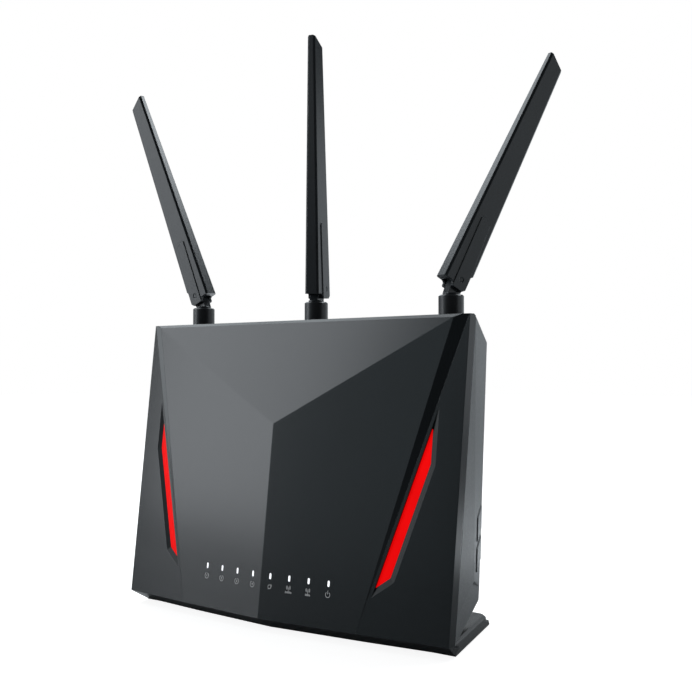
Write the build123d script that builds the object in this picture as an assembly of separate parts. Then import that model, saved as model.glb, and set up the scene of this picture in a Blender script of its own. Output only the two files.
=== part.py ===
"""Upright wireless router with a faceted front, three swivelling paddle antennas and a plate foot.

Millimetres. +X is the right seen from the front, -Y is the front, +Z is up. The origin is on the surface
the router stands on, in the foot's lower face, in the middle of the width.
"""

from build123d import *
from math import radians, tan
import os

# ---- housing envelope --------------------------------------------------------------------------------
HALF_WIDTH = 110.0  # half the width of the front frame
HOUSING_TOP = 156.6  # flat top of the housing
FRONT_LEAN_TOP_Y = -21.5  # front frame corner at FRAME_TOP_Z
FRONT_LEAN_BOTTOM_Y = -38.9  # front frame corner at CHIN_Z
FRAME_TOP_Z = 156.1
CHIN_Z = 6.0  # lower edge of the front
CHIN_SET_BACK = 9.4  # how far the chin runs back under the front
CHIN_SET_IN = 3.0  # and inwards at its two ends
CHIN_FLOOR = 0.4  # clearance of the chin above the foot's rim
CHIN_FOOT_GAP = 0.2
FRONT_WALL = 2.4
REAR_WALL = 2.2
SIDE_BAND = 4.8  # depth of the front frame seen from the side

# ---- raised shield on the front ----------------------------------------------------------------------
SHIELD_TOP = (0.931 * HALF_WIDTH, -24.0, 155.1)  # upper corner of the shield
SHIELD_FOOT = (0.549 * HALF_WIDTH, -44.2, 7.0)  # lower corner, where shield and wing meet
SHIELD_PEAK = (0.0, -37.55, 103.3)  # where the brow and the two flanks meet
KEEL_FOOT_Z = 6.3  # lower end of the middle ridge
BEVEL_TOP = (HALF_WIDTH - 0.8, -21.7, 155.0)  # upper end of the bevel's outer edge
TOP_EDGE_CHAMFER = HOUSING_TOP - SHIELD_TOP[2]

# ---- accent channels in the wings --------------------------------------------------------------------
CHANNEL_X = 0.882 * HALF_WIDTH  # upright outer edge of the channel
CHANNEL_BEND_Z = 86.6
CHANNEL_LOW = (0.72 * HALF_WIDTH, 31.7)  # x and z of the lower outer corner
CHANNEL_END_Z = 23.6  # lower end of the inner edge
CHANNEL_LAND = 1.6  # flat land between the shield's edge and the channel, along X
CHANNEL_SINK = 0.8  # of the strip's face under the wing
CHANNEL_RUN = 2.9  # width of the outer walls, which slope down to the strip
STRIP_THICKNESS = 1.1
STRIP_GAP = 0.08
STRIP_BLUNT = 1.0  # cut off the strip's sharp upper end
CHANNEL_BACKING = 1.6
BACKING_GAP = 0.1

# ---- status lights -----------------------------------------------------------------------------------
LIGHT_COUNT = 8
LIGHT_PITCH = 12.1
LIGHT_Z = 27.5
LIGHT_SLOT = (1.3, 3.0)  # width and height, with round ends
LIGHT_GAP = 0.06
LIGHT_RAIL_BACK_Y = -37.6
LIGHT_RAIL_THICKNESS = 2.0
LIGHT_RAIL_HEIGHT = 7.0
EMITTER_SIZE = (1.6, 0.8, 3.2)
EMITTER_GAP = 0.25
LIGHT_BOARD_HEIGHT = 12.0
LIGHT_BOARD_POST_X = 54.0
BOARD_THICKNESS = 1.6

# ---- rear cover --------------------------------------------------------------------------------------
SIDE_START_X = HALF_WIDTH - 0.6  # half width of the rear cover where it meets the front frame
REAR_HALF_WIDTH = 85.0
SIDE_SHARE = 0.90  # taper of the side's front part against its taper from end to end
FLANK_SHARE = 1.16  # the same for the rear part of the side
REAR_HIGH = (30.6, 144.6)  # y and z of the rear face at its upper edge
REAR_LOW = (22.6, 15.4)  # y and z of the rear face at its lower edge
TOP_SLOPE_Y = 21.4  # where the flat top breaks down to the rear
UNDERSIDE_FRONT_Z = 5.2
LEDGE_FRONT_Z = 16.0  # lower edge of the side at the seam
LEDGE_CREASE_Z = 28.8  # at the side's crease
LEDGE_REAR_Z = 22.0  # and at the rear corner
CORNER_START_Z = 156.1  # upper corner facet: its height at the seam
CORNER_INSET = 9.0  # and how far inside the rear corner it leaves the flat top
SHADOW_BAND = 2.6
SHADOW_DEPTH = 0.8
LIP_LENGTH = 1.6
LIP_THICKNESS = 1.1
LIP_GAP = 0.15

# ---- port bay ----------------------------------------------------------------------------------------
BAY_HALF_WIDTH = REAR_HALF_WIDTH - 11.0
BAY_BOTTOM = 26.0
BAY_TOP = 45.5
BAY_Y = 18.0  # outer face of the bay's wall
BAY_WALL = 2.2
TRAY_GAP = 0.1  # between the tray and the rear cover's inside
TRAY_FLANGE = 1.4
TRAY_FLANGE_REACH = 2.0
PORT_Z = 35.6
PORT_GAP = 0.3
PORT_PROUD = 0.4
LAN_COUNT = 4
LAN_PITCH = 14.4
LAN_FIRST_X = -22.9
JACK_WIDTH = 14.2
JACK_HEIGHT = 13.6
SOCKET_WIDTH = 11.8
SOCKET_HEIGHT = 8.2
SOCKET_DEPTH = 13.5
SOCKET_DROP = 0.6
LATCH_WIDTHS = ((6.2, 1.5), (3.4, 1.3))
WAN_X = -5.0
WAN_WIDTH = 16.0
USB_X = (13.5, 31.0)
USB_SHELL = (13.2, 5.8)
USB_DEPTH = 17.0
USB_SKIN = 0.4
USB_TONGUE = (11.1, 1.8)
USB_TONGUE_DEPTH = 8.8
USB_TONGUE_DROP = 0.7  # from the shell's roof to the tongue
USB_BACK_WALL = 4.0
USB_FOOT_INSET = 1.0
RESET_X = BAY_HALF_WIDTH - 31.0
RESET_RADIUS = 1.1
RESET_RECESS = 0.9
RESET_TRAVEL = 0.8
RESET_COLLAR = 1.4
RESET_COLLAR_REACH = 1.0
RESET_SWITCH_SIZE = 6.0
POWER_X = BAY_HALF_WIDTH - 20.0
POWER_RADIUS = 4.3
POWER_PROUD = 2.4
POWER_TRAVEL = 1.6
POWER_FLANGE = 2.0
POWER_FLANGE_REACH = 1.2
POWER_EDGE = 0.5
POWER_SWITCH_SIZE = 8.0
POWER_STEM_RADIUS = 2.0
BUTTON_STEM = 1.5
PLUNGER_LENGTH = 2.4
INLET_X = BAY_HALF_WIDTH - 7.0
INLET_BODY = (9.4, 11.4)
INLET_BORE_RADIUS = 3.2
INLET_BORE_DEPTH = 10.0
INLET_PIN_RADIUS = 1.05
INLET_PIN_RECESS = 1.5
BUTTON_GAP = 0.3

# ---- vents -------------------------------------------------------------------------------------------
VENT_WIDTH = 3.0
VENT_LENGTH = 17.0
VENT_PITCH = 8.0
VENT_COLUMNS = 15
VENT_ROWS = 3
VENT_ROW_PITCH = 23.0
VENT_FIRST_Z = 70.0
VENT_TILT = 20.0
VENT_REACH = 5.0
TOP_VENT = (2.2, 9.0)
TOP_VENT_PITCH = 6.0
TOP_VENT_COUNT = 23
TOP_VENT_Y = 11.5

# ---- side buttons ------------------------------------------------------------------------------------
SIDE_BUTTON_Y = 15.0
SIDE_BUTTON_Z = (39.9, 54.9)
SIDE_BUTTON_LENGTH = 15.0
SIDE_BUTTON_HEIGHT = 11.6
SIDE_BUTTON_RISE = 4.4
SIDE_BUTTON_PROUD = 0.6
SIDE_BUTTON_GAP = 0.25
SIDE_BUTTON_TRAVEL = 1.0
SIDE_BUTTON_FLANGE = 1.0
SIDE_BUTTON_FLANGE_THICKNESS = 1.2
SIDE_BUTTON_STEM = 1.2
SIDE_BUTTON_EDGE = 0.25
SWITCH_BODY = 6.2
SWITCH_HEIGHT = 3.4
SWITCH_PLUNGER_RADIUS = 1.7
SWITCH_PLUNGER_LENGTH = 1.0
SIDE_BOARD = (13.0, 36.0)
SIDE_RAIL = (2.0, 5.0, 1.2)  # rib, ledge under the board, thickness of the ledge

# ---- boards and what they carry ----------------------------------------------------------------------
MAIN_BOARD_FRONT_Y = -4.0
MAIN_BOARD_HALF_WIDTH = BAY_HALF_WIDTH + 0.5
MAIN_BOARD_BOTTOM = 17.5
MAIN_BOARD_TOP = 140.0
BOARD_SCREW_X = 56.0
BOARD_SCREW_Z = (56.0, 134.0)
BOARD_SCREW_LENGTH = 8.0
BOARD_BORE_LENGTH = 9.0
SCREW_RADIUS = 1.25
SCREW_HEAD_RADIUS = 2.4
SCREW_HEAD_HEIGHT = 1.6
SCREW_GAP = 0.15
BOSS_RADIUS = 3.2
CASE_SCREW_X = MAIN_BOARD_HALF_WIDTH + 5.0
CASE_SCREW_Z = (74.0, 128.0)
CASE_SCREW_LENGTH = 13.0
CASE_SCREW_SEAT_Y = 5.0
CASE_TUBE_RADIUS = 4.0
CASE_TUBE_BORE = 2.8
CASE_TUBE_FLOOR = 3.0
SCREW_SLOT = 0.8  # width and depth of the cross in a head
HEATSINK_SIZE = (64.0, 58.0)
HEATSINK_Z = 92.0
HEATSINK_BASE = 2.5
HEATSINK_FIN_HEIGHT = 11.0
HEATSINK_FIN_COUNT = 13
HEATSINK_FIN_THICKNESS = 1.2
CHIP_HEIGHT = 1.8
PROCESSOR_SIZE = 22.0
MEMORY_X = -48.0
MEMORY_PITCH = 16.0
MEMORY_SIZE = (12.0, 9.0)
SWITCH_CHIP = (-30.0, 48.0)  # x and z of the network chip
SWITCH_CHIP_SIZE = 14.0
SHIELD_CAN_SIZE = (40.0, 30.0, 3.4)
SHIELD_CAN_X = 26.0
SHIELD_CAN_Z = 106.0
SHIELD_CAN_SKIN = 0.5

# ---- foot --------------------------------------------------------------------------------------------
FOOT_FRONT = (HALF_WIDTH - 3.0, -29.4)
FOOT_REAR = (REAR_HALF_WIDTH - 4.5, 39.2)
FOOT_RIM = 2.2  # height up to which the rear corners stay sharp
FOOT_TOP = 5.4
FOOT_FLARE = 12.0  # slope of the foot's sides, degrees from upright
FOOT_EDGE = 1.0
FOOT_CORNER_RADIUS = 8.0
FOOT_HOLLOW = 2.6
FOOT_WALL = 2.4
PEDESTAL_HALF_WIDTH = REAR_HALF_WIDTH - 7.0
PEDESTAL_FRONT_Y = -27.0
PEDESTAL_REAR_Y = 13.0
PEDESTAL_RADIUS = 5.0
FOOT_RIB_X = (-40.0, 0.0, 40.0)
FOOT_RIB = 1.6
FOOT_RIB_END = 1.5
PAD_RADIUS = 6.0
PAD_RECESS = 1.2
PAD_GAP = 0.1
PAD_PLACES = ((FOOT_FRONT[0] - 13.0, -20.0), (FOOT_REAR[0] - 6.5, 28.0))
PAD_WALL = 1.6
FOOT_BOSS_WALL = 1.0
FOOT_SCREW_PLACES = ((60.0, -17.0), (60.0, 4.0))
FOOT_SCREW_LENGTH = 9.0
FOOT_BOSS_END = 2.0

# ---- antennas ----------------------------------------------------------------------------------------
ANTENNA_X = REAR_HALF_WIDTH + 2.5
ANTENNA_Y = -4.5
COLLAR_RADIUS = 6.2
COLLAR_TOP = 10.3  # above the housing's top
COLLAR_GAP = 0.4
COLLAR_CHAMFER = 0.6
THREAD_RADIUS = 3.2
THREAD_GAP = 0.06
CONNECTOR_TOP = 5.6
CONNECTOR_FLANGE = (5.2, 2.0)
CONNECTOR_TAIL = 6.0
CONNECTOR_TAIL_RADIUS = 1.6
CONNECTOR_SOCKET = 3.0
NUT_RADIUS = 4.6
NUT_THICKNESS = 1.5
NECK_RADIUS = 4.1
NECK_GAP = 0.08
NECK_PLAY = 0.25  # along the axis
NECK_FLANGE_RADIUS = 4.9
NECK_FLANGE = (6.1, 8.2)  # lower and upper face
NECK_TOP = 11.2
TONGUE_THICKNESS = 4.8
TONGUE_RADIUS = 4.0
TONGUE_GAP = 0.3
TONGUE_SET_IN = 0.5
TONGUE_SHOULDER = 1.5
TONGUE_FLAT = 0.2
HINGE_OFFSET = 3.0  # hinge pin from the swivel axis, towards the folding side
HINGE_HEIGHT = 17.5  # above the housing's top
PIN_RADIUS = 1.3
PIN_GAP = 0.05
PIN_SET_IN = 0.15
PIN_EDGE = 0.25
BLADE_LENGTH = 132.0  # hinge pin to the middle of the tip
BLADE_ROOT = (9.2, 6.4)  # reach to the open side and to the folding side
BLADE_TIP = (5.15, 5.15)
BLADE_TIP_SLANT = 2.8
BLADE_HALF_ROOT = 4.0
BLADE_HALF_TIP = 2.25
BLADE_EDGE = 1.0  # chamfer along the blade
BLADE_HEM = 2.6  # lower edge of the blade on its open side, below the pin
EAR_REACH = (3.5, 4.4)
EAR_DEPTH = 5.1
EAR_NOTCH = (3.6, 5.4)
EAR_SCOOP = 2.0
EAR_CUT = 1.5
EAR_DRAFT = 0.5
FORK_RADIUS = 6.3
FORK_REACH = 20.0
CHEEK_RISE = 0.45
CHEEK_TOP = (35.0, 32.4)
CHEEK_REACH = (3.8, 2.7)
ELEMENT_SIZE = (7.0, 0.8, 100.0)
ELEMENT_START = 16.0
ELEMENT_GAP = 0.1
# name, place along X, swivel of the folding direction from +X, rest tilt
ANTENNAS = (
    ("left", -ANTENNA_X, 182.0, 24.2),
    ("centre", 0.0, 106.0, -2.0),
    ("right", ANTENNA_X, 72.0, 29.0),
)
COAX_RADIUS = 0.7
COAX_PLUG = (2.6, 1.6, 2.6)
COAX_DROP = 14.0  # from the main board's top to a plug's foot
COAX_SIDES = 8
COAX_STRAIGHT = 3.5
COAX_BOW = 1.5
COAX_BEND = 1.6
COAX_INWARD = 0.79  # place of a plug along X per unit of its connector's

# ---- working room ------------------------------------------------------------------------------------
FAR = 400.0  # larger than the whole router, for blanks that planes trim
REACH = 60.0  # depth of cutters that go right through


# ======================================================================================================
# Planes and trimming
# ======================================================================================================
def plane_through(a, b, c, outward):
    """A plane through three points, its normal on the side of the outward direction."""
    a, b, c = Vector(*a), Vector(*b), Vector(*c)
    normal = (b - a).cross(c - a).normalized()
    if normal.dot(Vector(*outward)) < 0:
        normal = -normal
    return Plane(origin=a, x_dir=(b - a).normalized(), z_dir=normal)


def on_plane(plane, x, z):
    """The point of a plane that lies straight behind x and z."""
    normal, offset = plane.z_dir, plane.z_dir.dot(plane.origin)
    return (x, (offset - normal.X * x - normal.Z * z) / normal.Y, z)


def mirrored(point):
    """The same point on the other side of the middle."""
    return (-point[0], point[1], point[2])


def trim(solid, planes, inset=0.0):
    """Cut away what lies outside each plane, after moving the planes inwards."""
    for plane in planes:
        solid = split(solid, bisect_by=plane.offset(-inset), keep=Keep.BOTTOM)
    return solid


def block(x, y, z):
    """A box from three (low, high) pairs."""
    size = [high - low for low, high in (x, y, z)]
    centre = [(high + low) / 2 for low, high in (x, y, z)]
    return Pos(*centre) * Box(*size)


def rod_y(x, z, radius, y_low, y_high):
    """A cylinder along Y."""
    length = y_high - y_low
    return Pos(x, (y_low + y_high) / 2, z) * Rot(90, 0, 0) * Cylinder(radius, length)


def rod_z(x, y, radius, z_low, z_high):
    """A cylinder along Z."""
    return Pos(x, y, (z_low + z_high) / 2) * Cylinder(radius, z_high - z_low)


LEAN = (FRONT_LEAN_TOP_Y - FRONT_LEAN_BOTTOM_Y) / (FRAME_TOP_Z - CHIN_Z)


def frame_y(z):
    """Front frame corner's place in depth at a height."""
    return FRONT_LEAN_BOTTOM_Y + LEAN * (z - CHIN_Z)


def seam_y(z):
    """Where front and rear cover meet, at a height."""
    return frame_y(z) + SIDE_BAND


def rear_y(z):
    """Rear face's place in depth at a height."""
    slope = (REAR_HIGH[0] - REAR_LOW[0]) / (REAR_HIGH[1] - REAR_LOW[1])
    return REAR_LOW[0] + slope * (z - REAR_LOW[1])


def underside_z(y):
    """Height of the rear cover's rising underside at a depth."""
    start = seam_y(UNDERSIDE_FRONT_Z)
    slope = (REAR_LOW[1] - UNDERSIDE_FRONT_Z) / (REAR_LOW[0] - start)
    return UNDERSIDE_FRONT_Z + slope * (y - start)


# ======================================================================================================
# Front cover
# ======================================================================================================
FRAME_TOP = (HALF_WIDTH, FRONT_LEAN_TOP_Y, FRAME_TOP_Z)
FRAME_FOOT = (HALF_WIDTH, FRONT_LEAN_BOTTOM_Y, CHIN_Z)

SEAM = plane_through(
    (0, seam_y(0), 0), (0, seam_y(FAR), FAR), (1, seam_y(0), 0), (0, 1, 0)
)
WING = plane_through(FRAME_TOP, FRAME_FOOT, SHIELD_FOOT, (0, -1, 0))
BROW = plane_through(SHIELD_TOP, mirrored(SHIELD_TOP), SHIELD_PEAK, (0, -1, 0))
FLANK = plane_through(SHIELD_TOP, SHIELD_PEAK, SHIELD_FOOT, (0, -1, 0))
BEVEL = plane_through(SHIELD_TOP, SHIELD_FOOT, BEVEL_TOP, (1, -1, 0))
CREASE = plane_through(
    BEVEL_TOP, SHIELD_FOOT, (BEVEL_TOP[0], FAR, BEVEL_TOP[2]), (-1, 0, 0)
)
TOP_EDGE = plane_through(
    (0, BROW.origin.Y, SHIELD_TOP[2]),
    (1, BROW.origin.Y, SHIELD_TOP[2]),
    (0, BROW.origin.Y + TOP_EDGE_CHAMFER, SHIELD_TOP[2] + TOP_EDGE_CHAMFER),
    (0, -1, 1),
)


def flipped(plane):
    """The plane on the other side of the middle."""
    origin, normal, along = plane.origin, plane.z_dir, plane.x_dir
    return Plane(
        origin=mirrored(tuple(origin)),
        x_dir=mirrored(tuple(along)),
        z_dir=mirrored(tuple(normal)),
    )


def front_block(inset=0.0):
    """Solid behind the front's facets, all of them moved inwards, from the chin's edge to the top."""
    low, high = CHIN_Z, HOUSING_TOP - inset
    half = HALF_WIDTH - inset
    corners = [CORNER, flipped(CORNER)]
    shield = block((-half, half), (-REACH, 0), (low, high))
    shield = trim(
        shield, [BROW, FLANK, flipped(FLANK), BEVEL, flipped(BEVEL), TOP_EDGE] + corners, inset
    )
    wing = block((0, half), (-REACH, 0), (low, high))
    wing = trim(trim(wing, [WING, CORNER], inset), [CREASE])
    return shield + wing + mirror(wing, Plane.YZ)


def chin_outline(z, back, inward, inset):
    """Half front of the chin at a height, closed towards the rear."""
    keel_y = keel_foot()[1]
    points = [
        (0, keel_y + back + inset),
        (SHIELD_FOOT[0] - inward - inset, SHIELD_FOOT[1] + back + inset),
        (HALF_WIDTH - inward - inset, FRONT_LEAN_BOTTOM_Y + back + inset),
    ]
    points += [(x, 0) for x in (points[-1][0], -points[-1][0])]
    points += [(-x, y) for x, y in reversed(points[1:3])]
    return Plane.XY.offset(z) * make_face(Polyline(*points, close=True))


def keel_foot():
    """Lower end of the middle ridge, on both flanks."""
    normal, origin = FLANK.z_dir, FLANK.origin
    offset = normal.dot(origin)
    return (0.0, (offset - normal.Z * KEEL_FOOT_Z) / normal.Y, KEEL_FOOT_Z)


def chin_block(inset=0.0):
    """Solid under the front's lower edge, running back to the foot."""
    upper = chin_outline(CHIN_Z, 0, 0, inset)
    lower = chin_outline(CHIN_FLOOR + inset, CHIN_SET_BACK, CHIN_SET_IN, inset)
    return loft([lower, upper], ruled=True)


def channel_corners():
    """Corners of the right accent channel's opening in the wing, from its upper end outwards."""
    slope = (BEVEL_TOP[0] - SHIELD_FOOT[0]) / (BEVEL_TOP[2] - SHIELD_FOOT[2])
    inner_x = SHIELD_FOOT[0] + CHANNEL_LAND
    tip_z = SHIELD_FOOT[2] + (CHANNEL_X - inner_x) / slope
    end_x = inner_x + slope * (CHANNEL_END_Z - SHIELD_FOOT[2])
    corners = [
        (CHANNEL_X, tip_z),
        (CHANNEL_X, CHANNEL_BEND_Z),
        CHANNEL_LOW,
        (end_x, CHANNEL_END_Z),
    ]
    return [on_plane(WING, x, z) for x, z in corners]


def channel_wall(a, b, run):
    """Plane of a channel wall, down from an edge of the opening, its normal away from the channel."""
    a, b = Vector(*a), Vector(*b)
    inward = (b - a).cross(WING.z_dir).normalized()
    low = a + inward * run - WING.z_dir * CHANNEL_SINK
    return plane_through(tuple(a), tuple(b), tuple(low), tuple(-inward))


def channel_void():
    """The channel down to the strip's face: an upright inner wall and three sloping ones."""
    corners = channel_corners()
    tip, end = corners[0], corners[-1]
    walls = [channel_wall(a, b, CHANNEL_RUN) for a, b in zip(corners, corners[1:])]
    walls.append(channel_wall(end, tip, 0))
    blank = block((0, HALF_WIDTH), (-REACH, 0), (0, HOUSING_TOP))
    return split(trim(blank, walls), bisect_by=WING.offset(-CHANNEL_SINK), keep=Keep.TOP)


def strip_seat():
    """Pocket under the channel that holds the strip."""
    floor = min(channel_void().faces(), key=lambda face: face.center().dot(WING.z_dir))
    return extrude(floor, amount=STRIP_THICKNESS, dir=-WING.z_dir)


def accent_strip(side):
    """Coloured strip that fills its pocket, with a blunt upper end."""
    floor = max(strip_seat().faces(), key=lambda face: face.center().dot(WING.z_dir))
    outline = offset(floor, -STRIP_GAP, kind=Kind.INTERSECTION)
    strip = extrude(outline, amount=STRIP_THICKNESS, dir=-WING.z_dir)
    top = strip.bounding_box().max.Z - STRIP_BLUNT
    strip = trim(strip, [Plane.XY.offset(top)])
    return strip if side > 0 else mirror(strip, Plane.YZ)


def light_places():
    """Middle of each status light along X."""
    first = -LIGHT_PITCH * (LIGHT_COUNT - 1) / 2
    return [first + LIGHT_PITCH * i for i in range(LIGHT_COUNT)]


def front_cover():
    """Faceted front shell with its chin, channels, light slots, posts and backing for the strips."""
    outer = front_block() + chin_block()
    inner = front_block(FRONT_WALL) + chin_block(FRONT_WALL)
    backing = channel_backing()
    shell = outer - inner
    shell += backing + mirror(backing, Plane.YZ)
    shell -= light_bars(LIGHT_SLOT[0], LIGHT_SLOT[1])
    shell += front_posts()
    shell = trim(shell, [SEAM])
    shell += case_posts()
    shell += chin_block() & chin_tail()
    cut = channel_void() + strip_seat()
    return shell - (cut + mirror(cut, Plane.YZ))


def channel_backing():
    """Thicker wall behind the right accent channel."""
    depth = CHANNEL_SINK + STRIP_THICKNESS + CHANNEL_BACKING
    opening = make_face(Polyline(*channel_corners(), close=True))
    opening = offset(opening, CHANNEL_BACKING, kind=Kind.INTERSECTION)
    backing = extrude(opening, amount=depth, dir=-WING.z_dir)
    wing = block((0, HALF_WIDTH - FRONT_WALL), (-REACH, 0), (0, HOUSING_TOP))
    return backing & trim(wing, [CREASE, WING], BACKING_GAP)


def chin_tail():
    """Room under the rear cover's front edge that the chin fills, up to the foot."""
    return block(
        (-HALF_WIDTH, HALF_WIDTH),
        (seam_y(CHIN_Z) - 1.0, FOOT_FRONT[1] - CHIN_FOOT_GAP),
        (0, UNDERSIDE_FRONT_Z - CHIN_FOOT_GAP),
    )


def light_bars(width, height):
    """A bar with round ends at each status light, running back to the light guide's rail."""
    bar = SlotOverall(height, width)
    frames = [
        Plane(origin=(x, LIGHT_RAIL_BACK_Y, LIGHT_Z), x_dir=(0, 0, 1), z_dir=(0, -1, 0))
        for x in light_places()
    ]
    return [extrude(frame * bar, amount=REACH) for frame in frames]


def front_posts():
    """Posts for the light board, from the shield's inside."""
    front = front_block(FRONT_WALL / 2)
    back = light_board_y()
    posts = [
        rod_y(side * LIGHT_BOARD_POST_X, LIGHT_Z, BOSS_RADIUS, -REACH, back)
        for side in (-1, 1)
    ]
    return [front & post for post in posts]


def case_posts():
    """Long posts that take the case screws, from the front's inside to the rear cover's tubes."""
    front = front_block(FRONT_WALL / 2)
    end = CASE_SCREW_SEAT_Y - CASE_TUBE_FLOOR - SCREW_GAP
    posts = []
    for x, z in case_screw_places():
        post = rod_y(x, z, BOSS_RADIUS, -REACH, 0) & front
        post += rod_y(x, z, BOSS_RADIUS, -1, end)
        posts.append(post - rod_y(x, z, SCREW_RADIUS, end - CASE_SCREW_LENGTH, end + 1))
    return posts


def case_screw_places():
    """Middle of each case screw, x and z."""
    return [(side * CASE_SCREW_X, z) for side in (-1, 1) for z in CASE_SCREW_Z]


def light_board_y():
    """Front face of the light board."""
    return LIGHT_RAIL_BACK_Y + EMITTER_GAP + EMITTER_SIZE[1]


def light_guide():
    """Clear rods that fill the slots, joined by a rail behind the front."""
    half = light_places()[-1] + LIGHT_SLOT[0]
    height = LIGHT_RAIL_HEIGHT / 2
    rail = block(
        (-half, half),
        (LIGHT_RAIL_BACK_Y - LIGHT_RAIL_THICKNESS, LIGHT_RAIL_BACK_Y),
        (LIGHT_Z - height, LIGHT_Z + height),
    )
    width, tall = [value - 2 * LIGHT_GAP for value in LIGHT_SLOT]
    return (rail + light_bars(width, tall)) & front_block(LIGHT_GAP)


def light_board():
    """Small board behind the light guide, on the two posts."""
    half = LIGHT_BOARD_POST_X + BOSS_RADIUS
    front, height = light_board_y(), LIGHT_BOARD_HEIGHT / 2
    return block(
        (-half, half), (front, front + BOARD_THICKNESS), (LIGHT_Z - height, LIGHT_Z + height)
    )


def light_emitters():
    """One emitter behind each rod."""
    width, depth, tall = EMITTER_SIZE
    front = light_board_y()
    return [
        block(
            (x - width / 2, x + width / 2),
            (front - depth, front),
            (LIGHT_Z - tall / 2, LIGHT_Z + tall / 2),
        )
        for x in light_places()
    ]


# ======================================================================================================
# Rear cover
# ======================================================================================================
SIDE_RUN = (SIDE_START_X - REAR_HALF_WIDTH) / (rear_y(LEDGE_CREASE_Z) - seam_y(LEDGE_CREASE_Z))
SIDE_TAPER = SIDE_SHARE * SIDE_RUN  # inward run of the side's front part per unit of depth
FLANK_TAPER = FLANK_SHARE * SIDE_RUN  # the same for the rear part

SIDE = plane_through(
    (SIDE_START_X, seam_y(0), 0),
    (SIDE_START_X, seam_y(FAR), FAR),
    (SIDE_START_X - SIDE_TAPER, seam_y(0) + 1, 0),
    (1, 0, 0),
)
REAR_SIDE = plane_through(
    (REAR_HALF_WIDTH, REAR_HIGH[0], REAR_HIGH[1]),
    (REAR_HALF_WIDTH, REAR_LOW[0], REAR_LOW[1]),
    (REAR_HALF_WIDTH + FLANK_TAPER, REAR_HIGH[0] - 1, REAR_HIGH[1]),
    (1, 0, 0),
)
LOWER_SIDE = plane_through(
    (SIDE_START_X, seam_y(0), 0),
    (SIDE_START_X, seam_y(LEDGE_FRONT_Z), LEDGE_FRONT_Z),
    (REAR_HALF_WIDTH, rear_y(LEDGE_REAR_Z), LEDGE_REAR_Z),
    (1, 0, 0),
)
REAR = plane_through(
    (0, REAR_HIGH[0], REAR_HIGH[1]),
    (0, REAR_LOW[0], REAR_LOW[1]),
    (1, REAR_HIGH[0], REAR_HIGH[1]),
    (0, 1, 0),
)
TOP = Plane(origin=(0, 0, HOUSING_TOP), z_dir=(0, 0, 1))
TOP_SLOPE = plane_through(
    (0, TOP_SLOPE_Y, HOUSING_TOP),
    (1, TOP_SLOPE_Y, HOUSING_TOP),
    (0, REAR_HIGH[0], REAR_HIGH[1]),
    (0, 1, 1),
)
CORNER = plane_through(
    (SIDE_START_X, seam_y(CORNER_START_Z), CORNER_START_Z),
    (REAR_HALF_WIDTH, REAR_HIGH[0], REAR_HIGH[1]),
    (REAR_HALF_WIDTH - CORNER_INSET, TOP_SLOPE_Y, HOUSING_TOP),
    (1, 1, 1),
)
UNDERSIDE = plane_through(
    (0, 0, underside_z(0)), (1, 0, underside_z(0)), (0, 10, underside_z(10)), (0, 0, -1)
)


def side_crease(z):
    """Point on the upright crease between the two parts of the side."""
    side_x = SIDE_START_X + SIDE_TAPER * seam_y(z)
    rear_x = REAR_HALF_WIDTH + FLANK_TAPER * rear_y(z)
    y = (rear_x - side_x) / (FLANK_TAPER - SIDE_TAPER)
    return (side_x - SIDE_TAPER * y, y, z)


def ledge(corner):
    """Plane of the step low on the side, from the crease to a corner, sloping inwards and down."""
    x, y, z = side_crease(LEDGE_CREASE_Z)
    return plane_through((x, y, z), corner, (x - 1, y, z - 1), (1, 0, -1))


LEDGES = (
    ledge((SIDE_START_X, seam_y(LEDGE_FRONT_Z), LEDGE_FRONT_Z)),
    ledge((REAR_HALF_WIDTH, rear_y(LEDGE_REAR_Z), LEDGE_REAR_Z)),
)


def rear_block(inset=0.0):
    """Solid of the rear cover's outer form with every face moved inwards, open at the seam."""
    ends = [REAR, TOP, TOP_SLOPE, CORNER, flipped(CORNER), UNDERSIDE]
    sides = [SIDE, REAR_SIDE, flipped(SIDE), flipped(REAR_SIDE)]
    blank = block((-FAR / 2, FAR / 2), (-REACH, REACH), (0, HOUSING_TOP + 10))
    blank = split(blank, bisect_by=SEAM, keep=Keep.TOP)
    full = trim(blank, ends + sides, inset)
    lower = trim(full, [LOWER_SIDE, flipped(LOWER_SIDE)], inset)
    upper = [trim(full, [plane, flipped(plane)], inset) for plane in LEDGES]
    return lower + upper


def cover_lip():
    """Lip on the rear cover that sits inside the front cover's wall."""
    start = FRONT_WALL + LIP_GAP
    ring = front_block(start) - front_block(start + LIP_THICKNESS)
    ring = split(ring, bisect_by=SEAM.offset(-LIP_LENGTH), keep=Keep.TOP)
    ring = trim(ring, [SEAM.offset(REAR_WALL)])
    keep = block((-HALF_WIDTH, HALF_WIDTH), (-REACH, REACH), (2 * CHIN_Z, HOUSING_TOP - start))
    return ring & keep


def shadow_groove():
    """Narrow set-back band just behind the seam."""
    whole = block((-FAR / 2, FAR / 2), (-REACH, REACH), (0, HOUSING_TOP + 10))
    band = split(whole, bisect_by=SEAM, keep=Keep.TOP)
    band = trim(band, [SEAM.offset(SHADOW_BAND)])
    return band - rear_block(SHADOW_DEPTH)


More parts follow.
